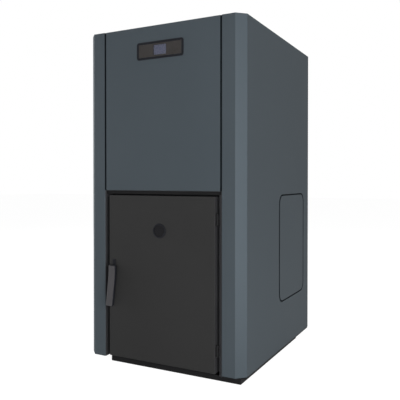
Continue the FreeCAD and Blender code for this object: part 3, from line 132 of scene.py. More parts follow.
def blendTints(tree, factor, first, second):
    node = tree.nodes.new("ShaderNodeMix")
    node.data_type = "RGBA"
    tree.links.new(factor, node.inputs["Factor"])
    tints = [socket for socket in node.inputs if socket.type == "RGBA"]
    for socket, value in zip(tints, (first, second)):
        if isinstance(value, list):
            socket.default_value = value
        else:
            tree.links.new(value, socket)
    return next(socket for socket in node.outputs if socket.type == "RGBA")


def mixTints(tree, factor, look, first="tint", second="tint2"):
    return blendTints(tree, factor, linear(look[first]), linear(look[second]))


def emboss(tree, shader, height, depth):
    node = tree.nodes.new("ShaderNodeBump")
    node.inputs["Distance"].default_value = depth * mm
    tree.links.new(height, node.inputs["Height"])
    tree.links.new(node.outputs["Normal"], shader.inputs["Normal"])


def spread(look):
    return look["rough"] - look["uneven"], look["rough"] + look["uneven"]


# lighter share of a broken edge, partly rubbed paint and partly a painted edge highlight: the bevels carry
# the attribute, a noise breaks it up
def edgeWearAndHighlight(tree, amount):
    mark = tree.nodes.new("ShaderNodeAttribute")
    mark.attribute_name = "edgeWearAndHighlight"
    chips = remap(tree, cloud(tree, place(tree), scale=60.0, detail=4.0), contrast["chip"], (0.0, amount))
    return combine(tree, "MULTIPLY", mark.outputs["Fac"], chips)


def powderCoat(name, look):
    material, tree, shader = startFinish(name)
    point = place(tree)
    wide = cloud(tree, point, look["drift"], detail=4.0)
    peel = cloud(tree, point, look["grain"], detail=2.0)
    wideShare = 0.6
    tint = mixTints(tree, remap(tree, wide, contrast["paint"]), look)
    # the bevels turn lighter: rubbed paint, and a painted highlight along every edge
    worn = blendTints(tree, edgeWearAndHighlight(tree, look["wear"]), tint, linear(look["worn"]))
    tree.links.new(worn, shader.inputs["Base Color"])
    mixed = combine(tree, "ADD", combine(tree, "MULTIPLY", wide, wideShare),
                    combine(tree, "MULTIPLY", peel, 1 - wideShare))
    tree.links.new(remap(tree, mixed, contrast["paint"], spread(look)), shader.inputs["Roughness"])
    shader.inputs["Specular IOR Level"].default_value = look["gloss"]
    shader.inputs["Metallic"].default_value = look.get("metal", 0.0)
    emboss(tree, shader, peel, look["depth"])
    return material


def brushedSteel(name, look):
    material, tree, shader = startFinish(name)
    lines = cloud(tree, place(tree, look["stretch"]), look["grain"])
    stains = cloud(tree, place(tree), look["drift"], detail=4.0)
    tint = mixTints(tree, remap(tree, stains, contrast["stain"]), look)
    tree.links.new(tint, shader.inputs["Base Color"])
    tree.links.new(remap(tree, lines, contrast["brush"], spread(look)), shader.inputs["Roughness"])
    shader.inputs["Metallic"].default_value = 1.0
    emboss(tree, shader, lines, look["depth"])
    return material


def zincSpangle(name, look):
    material, tree, shader = startFinish(name)
    parts = tree.nodes.new("ShaderNodeSeparateColor")
    tree.links.new(flakes(tree, place(tree), look["grain"], "Color"), parts.inputs["Color"])
    tint = mixTints(tree, parts.outputs["Red"], look)
    tree.links.new(tint, shader.inputs["Base Color"])
    tree.links.new(remap(tree, parts.outputs["Green"], (0.0, 1.0), spread(look)), shader.inputs["Roughness"])
    shader.inputs["Metallic"].default_value = 0.9
    emboss(tree, shader, cloud(tree, place(tree), scale=900.0, detail=2.0), look["depth"])
    return material


def mineralWool(name, look):
    material, tree, shader = startFinish(name)
    strands = cloud(tree, place(tree, look["stretch"]), look["grain"], detail=6.0, rough=0.7)
    tufts = cloud(tree, place(tree), look["drift"])
    tint = mixTints(tree, remap(tree, strands, contrast["strand"]), look)
    tree.links.new(tint, shader.inputs["Base Color"])
    shader.inputs["Roughness"].default_value = look["rough"]
    shader.inputs["Sheen Weight"].default_value = 0.2
    emboss(tree, shader, combine(tree, "ADD", strands, tufts), look["depth"])
    return material


def glassRope(name, look):
    material, tree, shader = startFinish(name)
    lean = math.radians(45)
    hairShare = 0.4
    plait = combine(tree, "MAXIMUM", stripes(tree, place(tree, turn=(0, lean, 0)), look["grain"], "X"),
                    stripes(tree, place(tree, turn=(0, -lean, 0)), look["grain"], "X"))
    hairs = cloud(tree, place(tree), look["drift"], detail=4.0)
    tint = mixTints(tree, remap(tree, plait, contrast["plait"]), look, "tint2", "tint")
    tree.links.new(tint, shader.inputs["Base Color"])
    shader.inputs["Roughness"].default_value = look["rough"]
    fluff = combine(tree, "MULTIPLY", hairs, hairShare)
    emboss(tree, shader, combine(tree, "ADD", plait, fluff), look["depth"])
    return material


def pressedBoard(name, look):
    material, tree, shader = startFinish(name)
    chips = flakes(tree, place(tree), look["grain"], "Distance")
    soot = cloud(tree, place(tree), look["drift"], detail=5.0)
    thickest = 0.7
    board = mixTints(tree, remap(tree, chips, contrast["fleck"]), look, "fleck", "tint")
    sooty = remap(tree, soot, contrast["soot"], (0.0, thickest))
    tint = blendTints(tree, sooty, board, linear(look["tint2"]))
    tree.links.new(tint, shader.inputs["Base Color"])
    shader.inputs["Roughness"].default_value = look["rough"]
    emboss(tree, shader, chips, look["depth"])
    return material


def screenFace(name, look):
    material, tree, shader = startFinish(name)
    waves = [stripes(tree, place(tree), look["grain"], direction, "SAW") for direction in ("X", "Z")]
    columns, rows = (remap(tree, wave, contrast["line"]) for wave in waves)
    haze = cloud(tree, place(tree), look["drift"], detail=2.0)
    pane = mixTints(tree, haze, look)
    tint = blendTints(tree, combine(tree, "MULTIPLY", columns, rows), linear(look["gap"]), pane)
    tree.links.new(tint, shader.inputs["Base Color"])
    tree.links.new(tint, shader.inputs["Emission Color"])
    shader.inputs["Emission Strength"].default_value = look["light"]
    shader.inputs["Roughness"].default_value = look["rough"]
    return material


def clearPane(name, look):
    material, tree, shader = startFinish(name)
    smear = cloud(tree, place(tree), look["drift"], detail=4.0)
    tree.links.new(remap(tree, smear, contrast["smear"], spread(look)), shader.inputs["Roughness"])
    shader.inputs["Base Color"].default_value = linear(look["tint"])
    shader.inputs["Transmission Weight"].default_value = 1.0
    shader.inputs["IOR"].default_value = 1.2
    shader.inputs["Specular IOR Level"].default_value = look["gloss"]
    return material


finishes = {
    "casing_grey": (powderCoat, {
        "tint": "#42494e", "tint2": "#444b50", "worn": "#5a6168", "rough": 0.52, "uneven": 0.05,
        "drift": 2.2, "grain": 1400.0, "depth": 0.02, "gloss": 0, "wear": 0.5, "metal": 0.4}),
    "door_grey": (powderCoat, {
        "tint": "#282828", "tint2": "#2a2a2a", "worn": "#404040", "rough": 0.6, "uneven": 0.06,
        "drift": 3.0, "grain": 1000.0, "depth": 0.04, "gloss": 0.08, "wear": 0.5}),
    "frame_black": (powderCoat, {
        "tint": "#19191a", "tint2": "#1d1d1e", "worn": "#2c2c2e", "rough": 0.62, "uneven": 0.08,
        "drift": 6.0, "grain": 900.0, "depth": 0.04, "gloss": 0.05, "wear": 0.4}),
    # a lighter copy of frame_black: painted light for lining walls that lie in shade
    "reveal_painted_light": (powderCoat, {
        "tint": "#353537", "tint2": "#38383a", "worn": "#343436", "rough": 0.7, "uneven": 0.08,
        "drift": 6.0, "grain": 900.0, "depth": 0.04, "gloss": 0.05, "wear": 0.4}),
    # dark paint on the door's folded edge: painted shade for the gap round the door
    "rim_painted_shade": (powderCoat, {
        "tint": "#2d2d2f", "tint2": "#303032", "worn": "#343436", "rough": 0.62, "uneven": 0.08,
        "drift": 6.0, "grain": 900.0, "depth": 0.04, "gloss": 0.05, "wear": 0.4}),
    # lighter grey on the door's tray deep in the gap is painted light in that shade; the rear panel takes it
    # as its own paint
    "tray_grey": (powderCoat, {
        "tint": "#48484b", "tint2": "#4c4c4f", "worn": "#5a5a5d", "rough": 0.6, "uneven": 0.08,
        "drift": 6.0, "grain": 700.0, "depth": 0.04, "gloss": 0.05, "wear": 0.3}),
    "black_plastic": (powderCoat, {
        "tint": "#191a1e", "tint2": "#1c1d21", "worn": "#2b2c31", "rough": 0.45, "uneven": 0.06,
        "drift": 20.0, "grain": 1600.0, "depth": 0.03, "gloss": 0.06, "wear": 0.3}),
    "handle_grey": (powderCoat, {
        "tint": "#3f3e40", "tint2": "#424143", "worn": "#5d5b5d", "rough": 0.48, "uneven": 0.06,
        "drift": 18.0, "grain": 1500.0, "depth": 0.03, "gloss": 0.1, "wear": 0.5}),
    "display_dark": (powderCoat, {
        "tint": "#32302f", "tint2": "#353332", "worn": "#3d3a39", "rough": 0.3, "uneven": 0.04,
        "drift": 14.0, "grain": 700.0, "depth": 0.002, "gloss": 0.08, "wear": 0.3}),
    "sight_glass": (powderCoat, {
        "tint": "#151517", "tint2": "#18181a", "worn": "#232326", "rough": 0.25, "uneven": 0.04,
        "drift": 30.0, "grain": 400.0, "depth": 0.002, "gloss": 0.08, "wear": 0.2}),
    "seal_black": (powderCoat, {
        "tint": "#0e1114", "tint2": "#131619", "worn": "#1d2023", "rough": 0.75, "uneven": 0.08,
        "drift": 12.0, "grain": 800.0, "depth": 0.05, "gloss": 0, "wear": 0.2}),
    "boiler_steel": (powderCoat, {
        "tint": "#2c2b2c", "tint2": "#3a3430", "worn": "#4a4542", "rough": 0.7, "uneven": 0.1,
        "drift": 9.0, "grain": 500.0, "depth": 0.08, "gloss": 0.3, "wear": 0.5}),
    "cast_iron": (powderCoat, {
        "tint": "#2f2c2a", "tint2": "#4a3a2f", "worn": "#54493f", "rough": 0.75, "uneven": 0.12,
        "drift": 25.0, "grain": 420.0, "depth": 0.35, "gloss": 0.35, "wear": 0.5}),
    "motor_metal": (powderCoat, {
        "tint": "#6c6e71", "tint2": "#7a7c7f", "worn": "#8e9093", "rough": 0.5, "uneven": 0.1,
        "drift": 20.0, "grain": 600.0, "depth": 0.1, "gloss": 0.5, "wear": 0.5, "metal": 0.8}),
    "plain_steel": (brushedSteel, {
        "tint": "#8d8d90", "tint2": "#77777b", "rough": 0.34, "uneven": 0.08, "drift": 12.0,
        "grain": 240.0, "stretch": (1, 12, 1), "depth": 0.02}),
    "pipe_steel": (brushedSteel, {
        "tint": "#8a857c", "tint2": "#6f6a63", "rough": 0.38, "uneven": 0.1, "drift": 30.0,
        "grain": 300.0, "stretch": (1, 8, 1), "depth": 0.03}),
    "zinc_sheet": (zincSpangle, {
        "tint": "#7b7f82", "tint2": "#94989b", "rough": 0.42, "uneven": 0.1, "grain": 90.0,
        "depth": 0.01}),
    "wool": (mineralWool, {
        "tint": "#b8a86a", "tint2": "#8f8250", "rough": 0.95, "drift": 18.0, "grain": 120.0,
        "stretch": (1, 1, 6), "depth": 2.0}),
    "gasket_rope": (glassRope, {
        "tint": "#b9b5a8", "tint2": "#7f7a6f", "rough": 0.9, "drift": 500.0, "grain": 60.0,
        "depth": 0.9}),
    "refractory": (pressedBoard, {
        "tint": "#b5a58a", "tint2": "#5b5046", "fleck": "#9a7b45", "rough": 0.9, "drift": 7.0,
        "grain": 260.0, "depth": 0.5}),
    "lcd_blue": (screenFace, {
        "tint": "#373a4c", "tint2": "#3c4054", "gap": "#303344", "rough": 0.35, "drift": 25.0,
        "grain": 300.0, "light": 0.1}),
    "clear_pane": (clearPane, {
        "tint": "#f4f5f8", "rough": 0.04, "uneven": 0.02, "drift": 30.0, "gloss": 0.2}),
}

materials = {slot: make(slot, look) for slot, (make, look) in finishes.items()}
for name, piece in nodes.items():
    piece.data.materials.clear()
    piece.data.materials.append(materials[slotOf[name]])
print("finishes:", len(materials))


# mesh helpers

# cosines against an axis: an edge or a face that follows it is above its value, a side face is below aside
facing = {"parallel": 0.999, "towards": 0.9, "aside": 0.6, "upward": 0.3}


def addPiece(name, bm, slots, body, replaced, smoothAngle=35):
    mesh = bpy.data.meshes.new(name)
    bm.to_mesh(mesh)
    bm.free()
    for slot in slots:
        mesh.materials.append(materials[slot])
    mesh.polygons.foreach_set("use_smooth", [True] * len(mesh.polygons))
    mesh.set_sharp_from_angle(angle=math.radians(smoothAngle))
    piece = bpy.data.objects.new(name, mesh)
    bpy.context.scene.collection.objects.link(piece)
    normals = piece.modifiers.new("normals", "WEIGHTED_NORMAL")  # keeps big faces flat beside their bevels
    normals.keep_sharp = True
    normals.weight = 100
    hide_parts(replaced)
    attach(piece, body)
    return piece


def everything(bm):
    return bm.verts[:] + bm.edges[:] + bm.faces[:]


def vertsOf(items):
    return [item for item in items if isinstance(item, bmesh.types.BMVert)]


def newBlock(bm, low, high):
    verts = bmesh.ops.create_cube(bm, size=1.0)["verts"]
    bmesh.ops.scale(bm, vec=Vector(high) - Vector(low), verts=verts)
    bmesh.ops.translate(bm, vec=(Vector(high) + Vector(low)) / 2, verts=verts)
    return verts


# a flat cut through all of it, square to an axis
def cutAcross(bm, axis, level):
    across = Vector([float(index == axis) for index in range(3)])
    bmesh.ops.bisect_plane(bm, geom=everything(bm), plane_co=across * level, plane_no=across)


# the extruded faces' old place is emptied, unless they close that end
def pushFaces(bm, faces, way, closed=False):
    grown = bmesh.ops.extrude_face_region(bm, geom=faces)["geom"]
    bmesh.ops.translate(bm, vec=way, verts=vertsOf(grown))
    if not closed:
        bmesh.ops.delete(bm, geom=faces, context="FACES")


def edgesAlong(bm, axis):
    runs = [(edge, edge.verts[1].co - edge.verts[0].co) for edge in bm.edges]
    return [edge for edge, run in runs if abs(run.normalized()[axis]) > facing["parallel"]]


def roundEdges(bm, edges, width, segments=2):
    return bmesh.ops.bevel(bm, geom=edges, offset=width * mm, offset_type="OFFSET", affect="EDGES",
                           segments=segments, profile=0.5, material=-1, clamp_overlap=True)["faces"]


def sharpEdges(bm, angle=35):
    inside = [edge for edge in bm.edges if len(edge.link_faces) == 2]
    return [edge for edge in inside if edge.calc_face_angle(0) > math.radians(angle)]


def breakEdges(bm, width, segments=2):
    rounded = roundEdges(bm, sharpEdges(bm), width, segments)
    # bevel faces are marked for the lighter edge tint: wear, and a painted edge highlight
    wear = bm.loops.layers.float.get("edgeWearAndHighlight") or bm.loops.layers.float.new("edgeWearAndHighlight")
    for face in rounded:
        for loop in face.loops:
            loop[wear] = 1.0


def faceTowards(bm, axis, sign):
    found = [face for face in bm.faces if face.normal[axis] * sign > facing["towards"]]
    return max(found, key=lambda face: (round(face.calc_center_median()[axis] * sign, 6), face.calc_area()))


# a hole from the front to the back of a plate: the two inner faces go and their edges are joined
def openWindow(bm, frontInset, backInset):
    holes = []
    for sign, inset in ((-1, frontInset), (1, backInset)):
        face = faceTowards(bm, 1, sign)
        bmesh.ops.inset_region(bm, faces=[face], thickness=inset * mm, use_even_offset=True)
        holes.append(face)
    edges = [edge for face in holes for edge in face.edges]
    bmesh.ops.delete(bm, geom=holes, context="FACES_ONLY")
    bmesh.ops.bridge_loops(bm, edges=edges)
    bm.normal_update()


# a turned piece: corners given as (radius, y), spun about a line along Y
def turn(bm, corners, centre, steps=72, closed=True):
    verts = [bm.verts.new((centre[0] + radius, y, centre[1])) for radius, y in corners]
    pairs = list(zip(verts, verts[1:])) + ([(verts[-1], verts[0])] if closed else [])
    edges = [bm.edges.new(pair) for pair in pairs]
    bmesh.ops.spin(bm, geom=verts + edges, cent=(centre[0], 0, centre[1]), axis=(0, 1, 0), dvec=(0, 0, 0),
                   angle=2 * math.pi, steps=steps, use_merge=True, use_duplicate=False)
    bmesh.ops.remove_doubles(bm, verts=bm.verts, dist=weldDistance)
    bmesh.ops.recalc_face_normals(bm, faces=bm.faces)


# CAD nodes whose shape is right: a welded copy with its edges broken, as sheet metal has them (width in mm)

flatAngle = 0.4  # degrees below which two faces are one


def copyNode(node):
    bm = bmesh.new()
    bm.from_mesh(nodes[node].data)
    bmesh.ops.remove_doubles(bm, verts=bm.verts, dist=weldDistance)
    bmesh.ops.dissolve_limit(bm, angle_limit=math.radians(flatAngle), verts=bm.verts, edges=bm.edges)
    return bm


brokenEdges = {
    "left_side_panel": 0.35, "right_side_panel": 0.35, "upper_front_panel": 0.35, "top_panel": 0.35,
    "rear_panel": 0.35, "base_plinth": 0.8, "base_plate": 0.6, "door_inner_plate": 0.8,
    "door_refractory": 2.5, "boiler_front_plate": 1.0, "hatch_frame": 0.4, "hopper_lid": 0.4,
    "handle_escutcheon": 0.8, "latch_tongue": 0.8, "latch_keeper": 0.5, "hinge_brackets": 0.4,
    "door_hinge_knuckles": 0.4, "lid_hinge_brackets": 0.3, "ash_drawer": 0.4, "burner_box": 0.8,
    "burner_pot": 0.6, "main_switch": 0.7, "cleaning_cover": 1.0, "control_box": 0.8,
    "hatch_studs": 0.6, "latch_spindle": 0.5, "lid_seal": 0.8, "gear_motor": 1.0,
    "fan_motor": 1.0, "fan_housing": 0.5,
}
ownFinish = {"rear_panel": "tray_grey"}
lowerEdge = {"right_side_panel": 5.5}  # this sheet ends above the base plate's black edge
for node, width in brokenEdges.items():
    bm = copyNode(node)
    if node in lowerEdge:
        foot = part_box(node)[0].z
        for vert in bm.verts:
            vert.co.z = max(vert.co.z, foot + lowerEdge[node] * mm)
    breakEdges(bm, width)
    addPiece(node + "_finished", bm, [ownFinish.get(node, slotOf[node])], bodyOf[node], node)
print("edges broken on", len(brokenEdges), "nodes")


# the seals beside the upper front panel: a black rubber profile whose lip lies over both edges of its seam,
# so the seam's dark line is wider: a real seal that also stands as painted shade

sealShape = {"edge": 0.15, "lip": 0.8, "proud": 0.4, "clear": 0.02}


def buildSeals():
    low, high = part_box("panel_seal_strips")
    lip, proud, clear = (sealShape[key] * mm for key in ("lip", "proud", "clear"))
    inner = min(vert.co.x for vert in nodes["panel_seal_strips"].data.vertices if vert.co.x > 0)
    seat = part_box("upper_front_panel")[0].y - clear
    # the lip's reach over both panel edges widens the black line: painted shade for the seam
    profile = [(inner, high.y), (inner, seat), (inner - lip, seat), (inner - lip, seat - proud),
               (high.x + lip, seat - proud), (high.x + lip, seat), (high.x, seat), (high.x, high.y)]
    bm = bmesh.new()
    for side in (-1, 1):
        cap = bm.faces.new([bm.verts.new((side * x, y, low.z)) for x, y in profile])
        pushFaces(bm, [cap], (0, 0, high.z - low.z), closed=True)
    bmesh.ops.recalc_face_normals(bm, faces=bm.faces)
    breakEdges(bm, sealShape["edge"])
    addPiece("panel_seals", bm, ["seal_black"], "boiler", "panel_seal_strips")


buildSeals()


# the lining of the door's recess: lips beside the hinges and over the door hide the slot behind it; its
# walls and the lip beside the hinges take a lighter copy of the black, painted light in the recess's shade

liningShape = {"edge": 0.4, "lip": 11.0, "headLip": 13.0, "lipDepth": 7.0, "sheet": 1.5}


def buildLining():
    low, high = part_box("door_surround")
    lip, headLip, deep, sheet = (liningShape[key] * mm for key in ("lip", "headLip", "lipDepth", "sheet"))
    bm = copyNode("door_surround")
    front = low.y + deep
    head = high.z - sheet - headLip
    right = high.x - sheet / 2
    newBlock(bm, (high.x - sheet - lip, front, low.z), (right, front + sheet, head))
    lintel = newBlock(bm, (low.x + sheet / 2, front, head), (right, front + sheet, high.z - sheet / 2))
    for corner in lintel:
        for face in corner.link_faces:
            face.material_index = 1
    breakEdges(bm, liningShape["edge"])
    addPiece("door_lining", bm, ["reveal_painted_light", "frame_black"], "boiler", "door_surround")


buildLining()


# the door's skin: its folded edge is painted dark as deep as flange, painted shade for the gap round the
# door, and the tray behind it is painted a lighter grey, painted light in the gap's deep shade

doorShape = {"edge": 0.5, "flange": 28.0}


def buildDoorSkin():
    bm = copyNode("door_panel")
    breakEdges(bm, doorShape["edge"])
    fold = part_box("door_panel")[0].y + doorShape["flange"] * mm
    cutAcross(bm, 1, fold)
    bm.normal_update()
    # sides near the front are painted dark as shade, sides deeper in are painted lighter to lift their shade
    for face in bm.faces:
        if abs(face.normal.y) < facing["aside"]:
            face.material_index = 1 if face.calc_center_median().y < fold else 2
    addPiece("door_skin", bm, ["door_grey", "rim_painted_shade", "tray_grey"], "door", "door_panel")


buildDoorSkin()


# the hatch: a black band painted round the pressed cover, and on its side walls, is painted shade for the
# seam round it; the band is as wide as flank at its upright sides

hatchShape = {"edge": 0.4, "seamShade": 2.8, "flank": 7.5}


def buildHatch():
    bm = copyNode("hatch_cover")
    breakEdges(bm, hatchShape["edge"])
    bm.normal_update()
    cover = faceTowards(bm, 0, 1)
    wide, flank = (hatchShape[key] * mm for key in ("seamShade", "flank"))
    seamShade = bmesh.ops.inset_region(bm, faces=[cover], thickness=wide, use_even_offset=True)["faces"]
    low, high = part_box("hatch_cover")
    middle, half = (low.y + high.y) / 2, (high.y - low.y) / 2
    squeeze = (half - flank) / (half - wide)
    for vert in cover.verts:
        vert.co.y = middle + (vert.co.y - middle) * squeeze
    for face in bm.faces:
        # the band and the cover's side walls are painted black: painted shade for the seam
        face.material_index = int(abs(face.normal.x) < facing["aside"] or face in seamShade)
    addPiece("hatch_skin", bm, ["casing_grey", "seal_black"], "hatch", "hatch_cover")


buildHatch()
print("seals, lining, door skin and hatch done")


# the lever handle: a bar that leans away from the door below its bend, on a round hub
# hubFoot and hubHead are steps off the hub's radius and off its two ends

handleShape = {
    "thickness": 13.8, "standoff": 5.2, "lean": 14.8, "sweep": 3.0,
    "bendAt": 0.25, "bendSoft": 18.0, "bendCuts": 9,
    "edge": 3.0, "edgeSteps": 5, "topCorner": 4.0, "lowCorner": 7.0, "cornerSteps": 8,
    "hubRadius": 11.0, "hubSteps": 48, "abovePivot": 13.0,
    "hubFoot": [(-0.8, 0.0), (-0.2, -0.3), (0.0, -1.0)], "hubHead": [(0.0, 1.2), (0.5, 0.0), (-1.0, -3.0)],
}


def buildHandle():
    low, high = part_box("door_handle")
    shape = handleShape
    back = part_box("door_panel")[0].y - shape["standoff"] * mm
    bend = high.z - (high.z - low.z) * shape["bendAt"]
    outward, sideways = (shape[key] * mm / (bend - low.z) for key in ("lean", "sweep"))
    soft = shape["bendSoft"] * mm
    bm = bmesh.new()
    newBlock(bm, (low.x, back - shape["thickness"] * mm, low.z), (high.x, back, high.z))
    for size, upper in ((shape["lowCorner"], False), (shape["topCorner"], True)):
        corners = [edge for edge in edgesAlong(bm, 1) if (edge.verts[0].co.z > bend) == upper]
        roundEdges(bm, corners, size, shape["cornerSteps"])
    breakEdges(bm, shape["edge"], shape["edgeSteps"])
    for i in range(shape["bendCuts"]):
        cutAcross(bm, 2, bend + soft * (2 * i / (shape["bendCuts"] - 1) - 1))
    bm.normal_update()
    # the black sides and bevels make a two-tone grip, and are also painted shade along the lever's side
    for face in bm.faces:  # grey cover at the front, black behind it
        face.material_index = int(face.normal.y > -facing["towards"])
    for vert in bm.verts:
        run = max(bend - vert.co.z, -soft)
        if run < soft:  # the slope grows evenly from one end of the bend to the other
            run = (run + soft) ** 2 / (4 * soft)
        vert.co.y -= outward * run
        vert.co.x -= sideways * run
    lever = set(bm.faces)
    radius = shape["hubRadius"] * mm
    hub = [(0, high.y)]
    for end, steps in ((high.y, shape["hubFoot"]), (back, shape["hubHead"])):
        hub += [(radius + out * mm, end + along * mm) for out, along in steps]
    hub.append((0, hub[-1][1]))
    pivot = ((low.x + high.x) / 2, high.z - shape["abovePivot"] * mm)
    turn(bm, hub, pivot, shape["hubSteps"], closed=False)
    for face in bm.faces:
        if face not in lever:
            face.material_index = 1
    addPiece("door_handle_lever", bm, ["handle_grey", "black_plastic"], "handle", "door_handle",
             smoothAngle=50)


buildHandle()


# the peephole: a moulded rim with a slightly domed dark glass in it
# inside and outside: shares of the lip, off the inner or outer radius, and of the depth behind the front

peepholeShape = {
    "lip": 1.6, "dome": 0.5, "rings": 10, "steps": 96,
    "inside": [(0, 1), (0, 0.35), (0.3, 0.1), (1, 0)],
    "outside": [(1, 0), (0.5, 0.08), (0.12, 0.35), (0, 0.7), (0, 1)],
}


def buildPeephole():
    low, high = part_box("peephole_ring")
    glassLow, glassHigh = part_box("peephole_glass")
    centre = ((low.x + high.x) / 2, (low.z + high.z) / 2)
    outer, inner = (high.x - low.x) / 2, (glassHigh.x - glassLow.x) / 2
    lip, deep = peepholeShape["lip"] * mm, high.y - low.y
    rim = [(inner + lip * out, low.y + deep * behind) for out, behind in peepholeShape["inside"]]
    rim += [(outer - lip * off, low.y + deep * behind) for off, behind in peepholeShape["outside"]]
    bm = bmesh.new()
    turn(bm, rim, centre, peepholeShape["steps"])
    addPiece("peephole_rim", bm, ["black_plastic"], "door", "peephole_ring")
    rings = peepholeShape["rings"]
    drop = (glassHigh.y - glassLow.y) * peepholeShape["dome"]
    dome = [(inner * i / rings, glassLow.y + drop * (i / rings) ** 2) for i in range(rings + 1)]
    bm = bmesh.new()
    turn(bm, dome + [(inner, glassHigh.y), (0, glassHigh.y)], centre, peepholeShape["steps"], closed=False)
    addPiece("peephole_lens", bm, ["sight_glass"], "door", "peephole_glass")


buildPeephole()


# the display: a moulded frame, a pane printed dark round its clear window, and the screen behind the window

displayShape = {
    "corner": 10.0, "cornerSteps": 10, "rim": 9.0, "sleeve": 5.3, "proud": 2.0, "edge": 0.5, "edgeSteps": 3,
    "paneGap": 0.15, "paneEdge": 0.4, "windowWide": 56.5, "windowTall": 38.0,
}


def buildDisplayFrame():
    low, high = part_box("display_bezel")
    shape = displayShape
    bm = bmesh.new()
    newBlock(bm, low, (high.x, low.y + shape["proud"] * mm, high.z))
    roundEdges(bm, edgesAlong(bm, 1), shape["corner"], shape["cornerSteps"])
    back = faceTowards(bm, 1, 1)
    bmesh.ops.inset_region(bm, faces=[back], thickness=shape["sleeve"] * mm, use_even_offset=True)
    pushFaces(bm, [back], (0, high.y - low.y - shape["proud"] * mm, 0))
    bm.normal_update()
    openWindow(bm, shape["rim"], shape["rim"] - shape["sleeve"])
    bmesh.ops.recalc_face_normals(bm, faces=bm.faces)
    breakEdges(bm, shape["edge"], shape["edgeSteps"])
    addPiece("display_frame", bm, ["black_plastic"], "boiler", "display_bezel")


def buildDisplayPane():
    low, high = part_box("display_bezel")
    glassLow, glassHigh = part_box("display_glass")
    inset = (displayShape["rim"] + displayShape["paneGap"]) * mm
    middle = (glassLow + glassHigh) / 2
    reach = {0: displayShape["windowWide"] * mm / 2, 2: displayShape["windowTall"] * mm / 2}
    bm = bmesh.new()
    newBlock(bm, (low.x + inset, glassLow.y, low.z + inset), (high.x - inset, glassHigh.y, high.z - inset))
    for axis, half in reach.items():
        for side in (-half, half):
            cutAcross(bm, axis, middle[axis] + side)
    breakEdges(bm, displayShape["paneEdge"])
    for face in bm.faces:
        offset = face.calc_center_median() - middle
        face.material_index = int(all(abs(offset[axis]) < half for axis, half in reach.items()))
    addPiece("display_pane", bm, ["display_dark", "clear_pane"], "boiler", "display_glass")


def buildDisplayScreen():
    wider = displayShape["windowWide"] * mm / 2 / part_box("lcd_screen")[1].x
    bm = copyNode("lcd_screen")
    bmesh.ops.scale(bm, vec=(wider, 1, 1), verts=bm.verts)
    breakEdges(bm, displayShape["paneEdge"])
    addPiece("display_screen", bm, ["lcd_blue"], "boiler", "lcd_screen")


buildDisplayFrame()
buildDisplayPane()
buildDisplayScreen()


# the rope that seals the door: a ring with rounded corners and a nearly round section

ropeShape = {"corner": 18.0, "cornerSteps": 12, "width": 14.0, "round": 4.0, "roundSteps": 5, "sharp": 60}


def buildRope():
    bm = bmesh.new()
    newBlock(bm, *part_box("door_gasket"))
    roundEdges(bm, edgesAlong(bm, 1), ropeShape["corner"], ropeShape["cornerSteps"])
    openWindow(bm, ropeShape["width"], ropeShape["width"])
    bmesh.ops.recalc_face_normals(bm, faces=bm.faces)
    roundEdges(bm, sharpEdges(bm, ropeShape["sharp"]), ropeShape["round"], ropeShape["roundSteps"])
    addPiece("door_rope", bm, ["gasket_rope"], "door", "door_gasket", smoothAngle=ropeShape["sharp"])


buildRope()


# wool blankets: the solid remeshed and pressed in here and there, never out
# each wave is a noise's scale and its share; level and swing are shares of a blanket's press

blankets = {
    "jacket_insulation": {"voxel": 6.0, "press": 2.0},
    "door_insulation": {"voxel": 5.0, "press": 1.0},
}
woolShape = {"weld": 0.01, "smooth": 0.4, "waves": [(22.0, 0.6), (75.0, 0.4)], "level": 0.55, "swing": 0.45}


def buildBlanket(node, shape):
    loose = bpy.data.objects.new("loose", nodes[node].data.copy())
    bpy.context.scene.collection.objects.link(loose)
    loose.modifiers.new("weld", "WELD").merge_threshold = woolShape["weld"] * mm
    remesh = loose.modifiers.new("remesh", "REMESH")
    remesh.mode = "VOXEL"
    remesh.voxel_size = shape["voxel"] * mm
    soft = bpy.data.meshes.new_from_object(loose.evaluated_get(bpy.context.evaluated_depsgraph_get()))
    bpy.data.objects.remove(loose)
    bm = bmesh.new()
    bm.from_mesh(soft)
    bm.normal_update()
    bmesh.ops.smooth_vert(bm, verts=bm.verts, factor=woolShape["smooth"], use_axis_x=True, use_axis_y=True,
                          use_axis_z=True)
    presses = []
    for vert in bm.verts:
        wave = sum(noise.noise(vert.co * scale) * share for scale, share in woolShape["waves"])
        presses.append(vert.normal * -shape["press"] * mm * (woolShape["level"] + woolShape["swing"] * wave))
    for vert, press in zip(bm.verts, presses):
        vert.co += press
    piece = addPiece(node + "_blanket", bm, ["wool"], bodyOf[node], node, smoothAngle=70)


for node, shape in blankets.items():
    buildBlanket(node, shape)
print("handle, peephole, display and soft pieces done")


# pipes at the back: a cover ring on the panel, then a thread for water or a pressed bead for sheet metal
# fillet holds steps off the pipe and off the ring; flanks are shares of a thread's pitch

pipeShape = {
    "ring": 8.0, "ringDepth": 3.0, "ringEdge": 0.6, "fillet": [(1.2, 0.0), (0.3, 0.4), (0.0, 1.2)],
    "flanks": (0.38, 0.5, 0.88), "threadEnd": 1.0, "beadSteps": 8, "endEdge": 0.4,
    "flow_pipe": {"wall": 3.0, "thread": 24.0, "pitch": 2.31, "depth": 1.0},
    "return_pipe": {"wall": 3.0, "thread": 24.0, "pitch": 2.31, "depth": 1.0},
    "flue_pipe": {"wall": 1.5, "bead": 38.0, "rise": 1.6, "half": 3.0},
    "air_pipe": {"wall": 2.0, "bead": 8.0, "rise": 1.0, "half": 2.0},
}


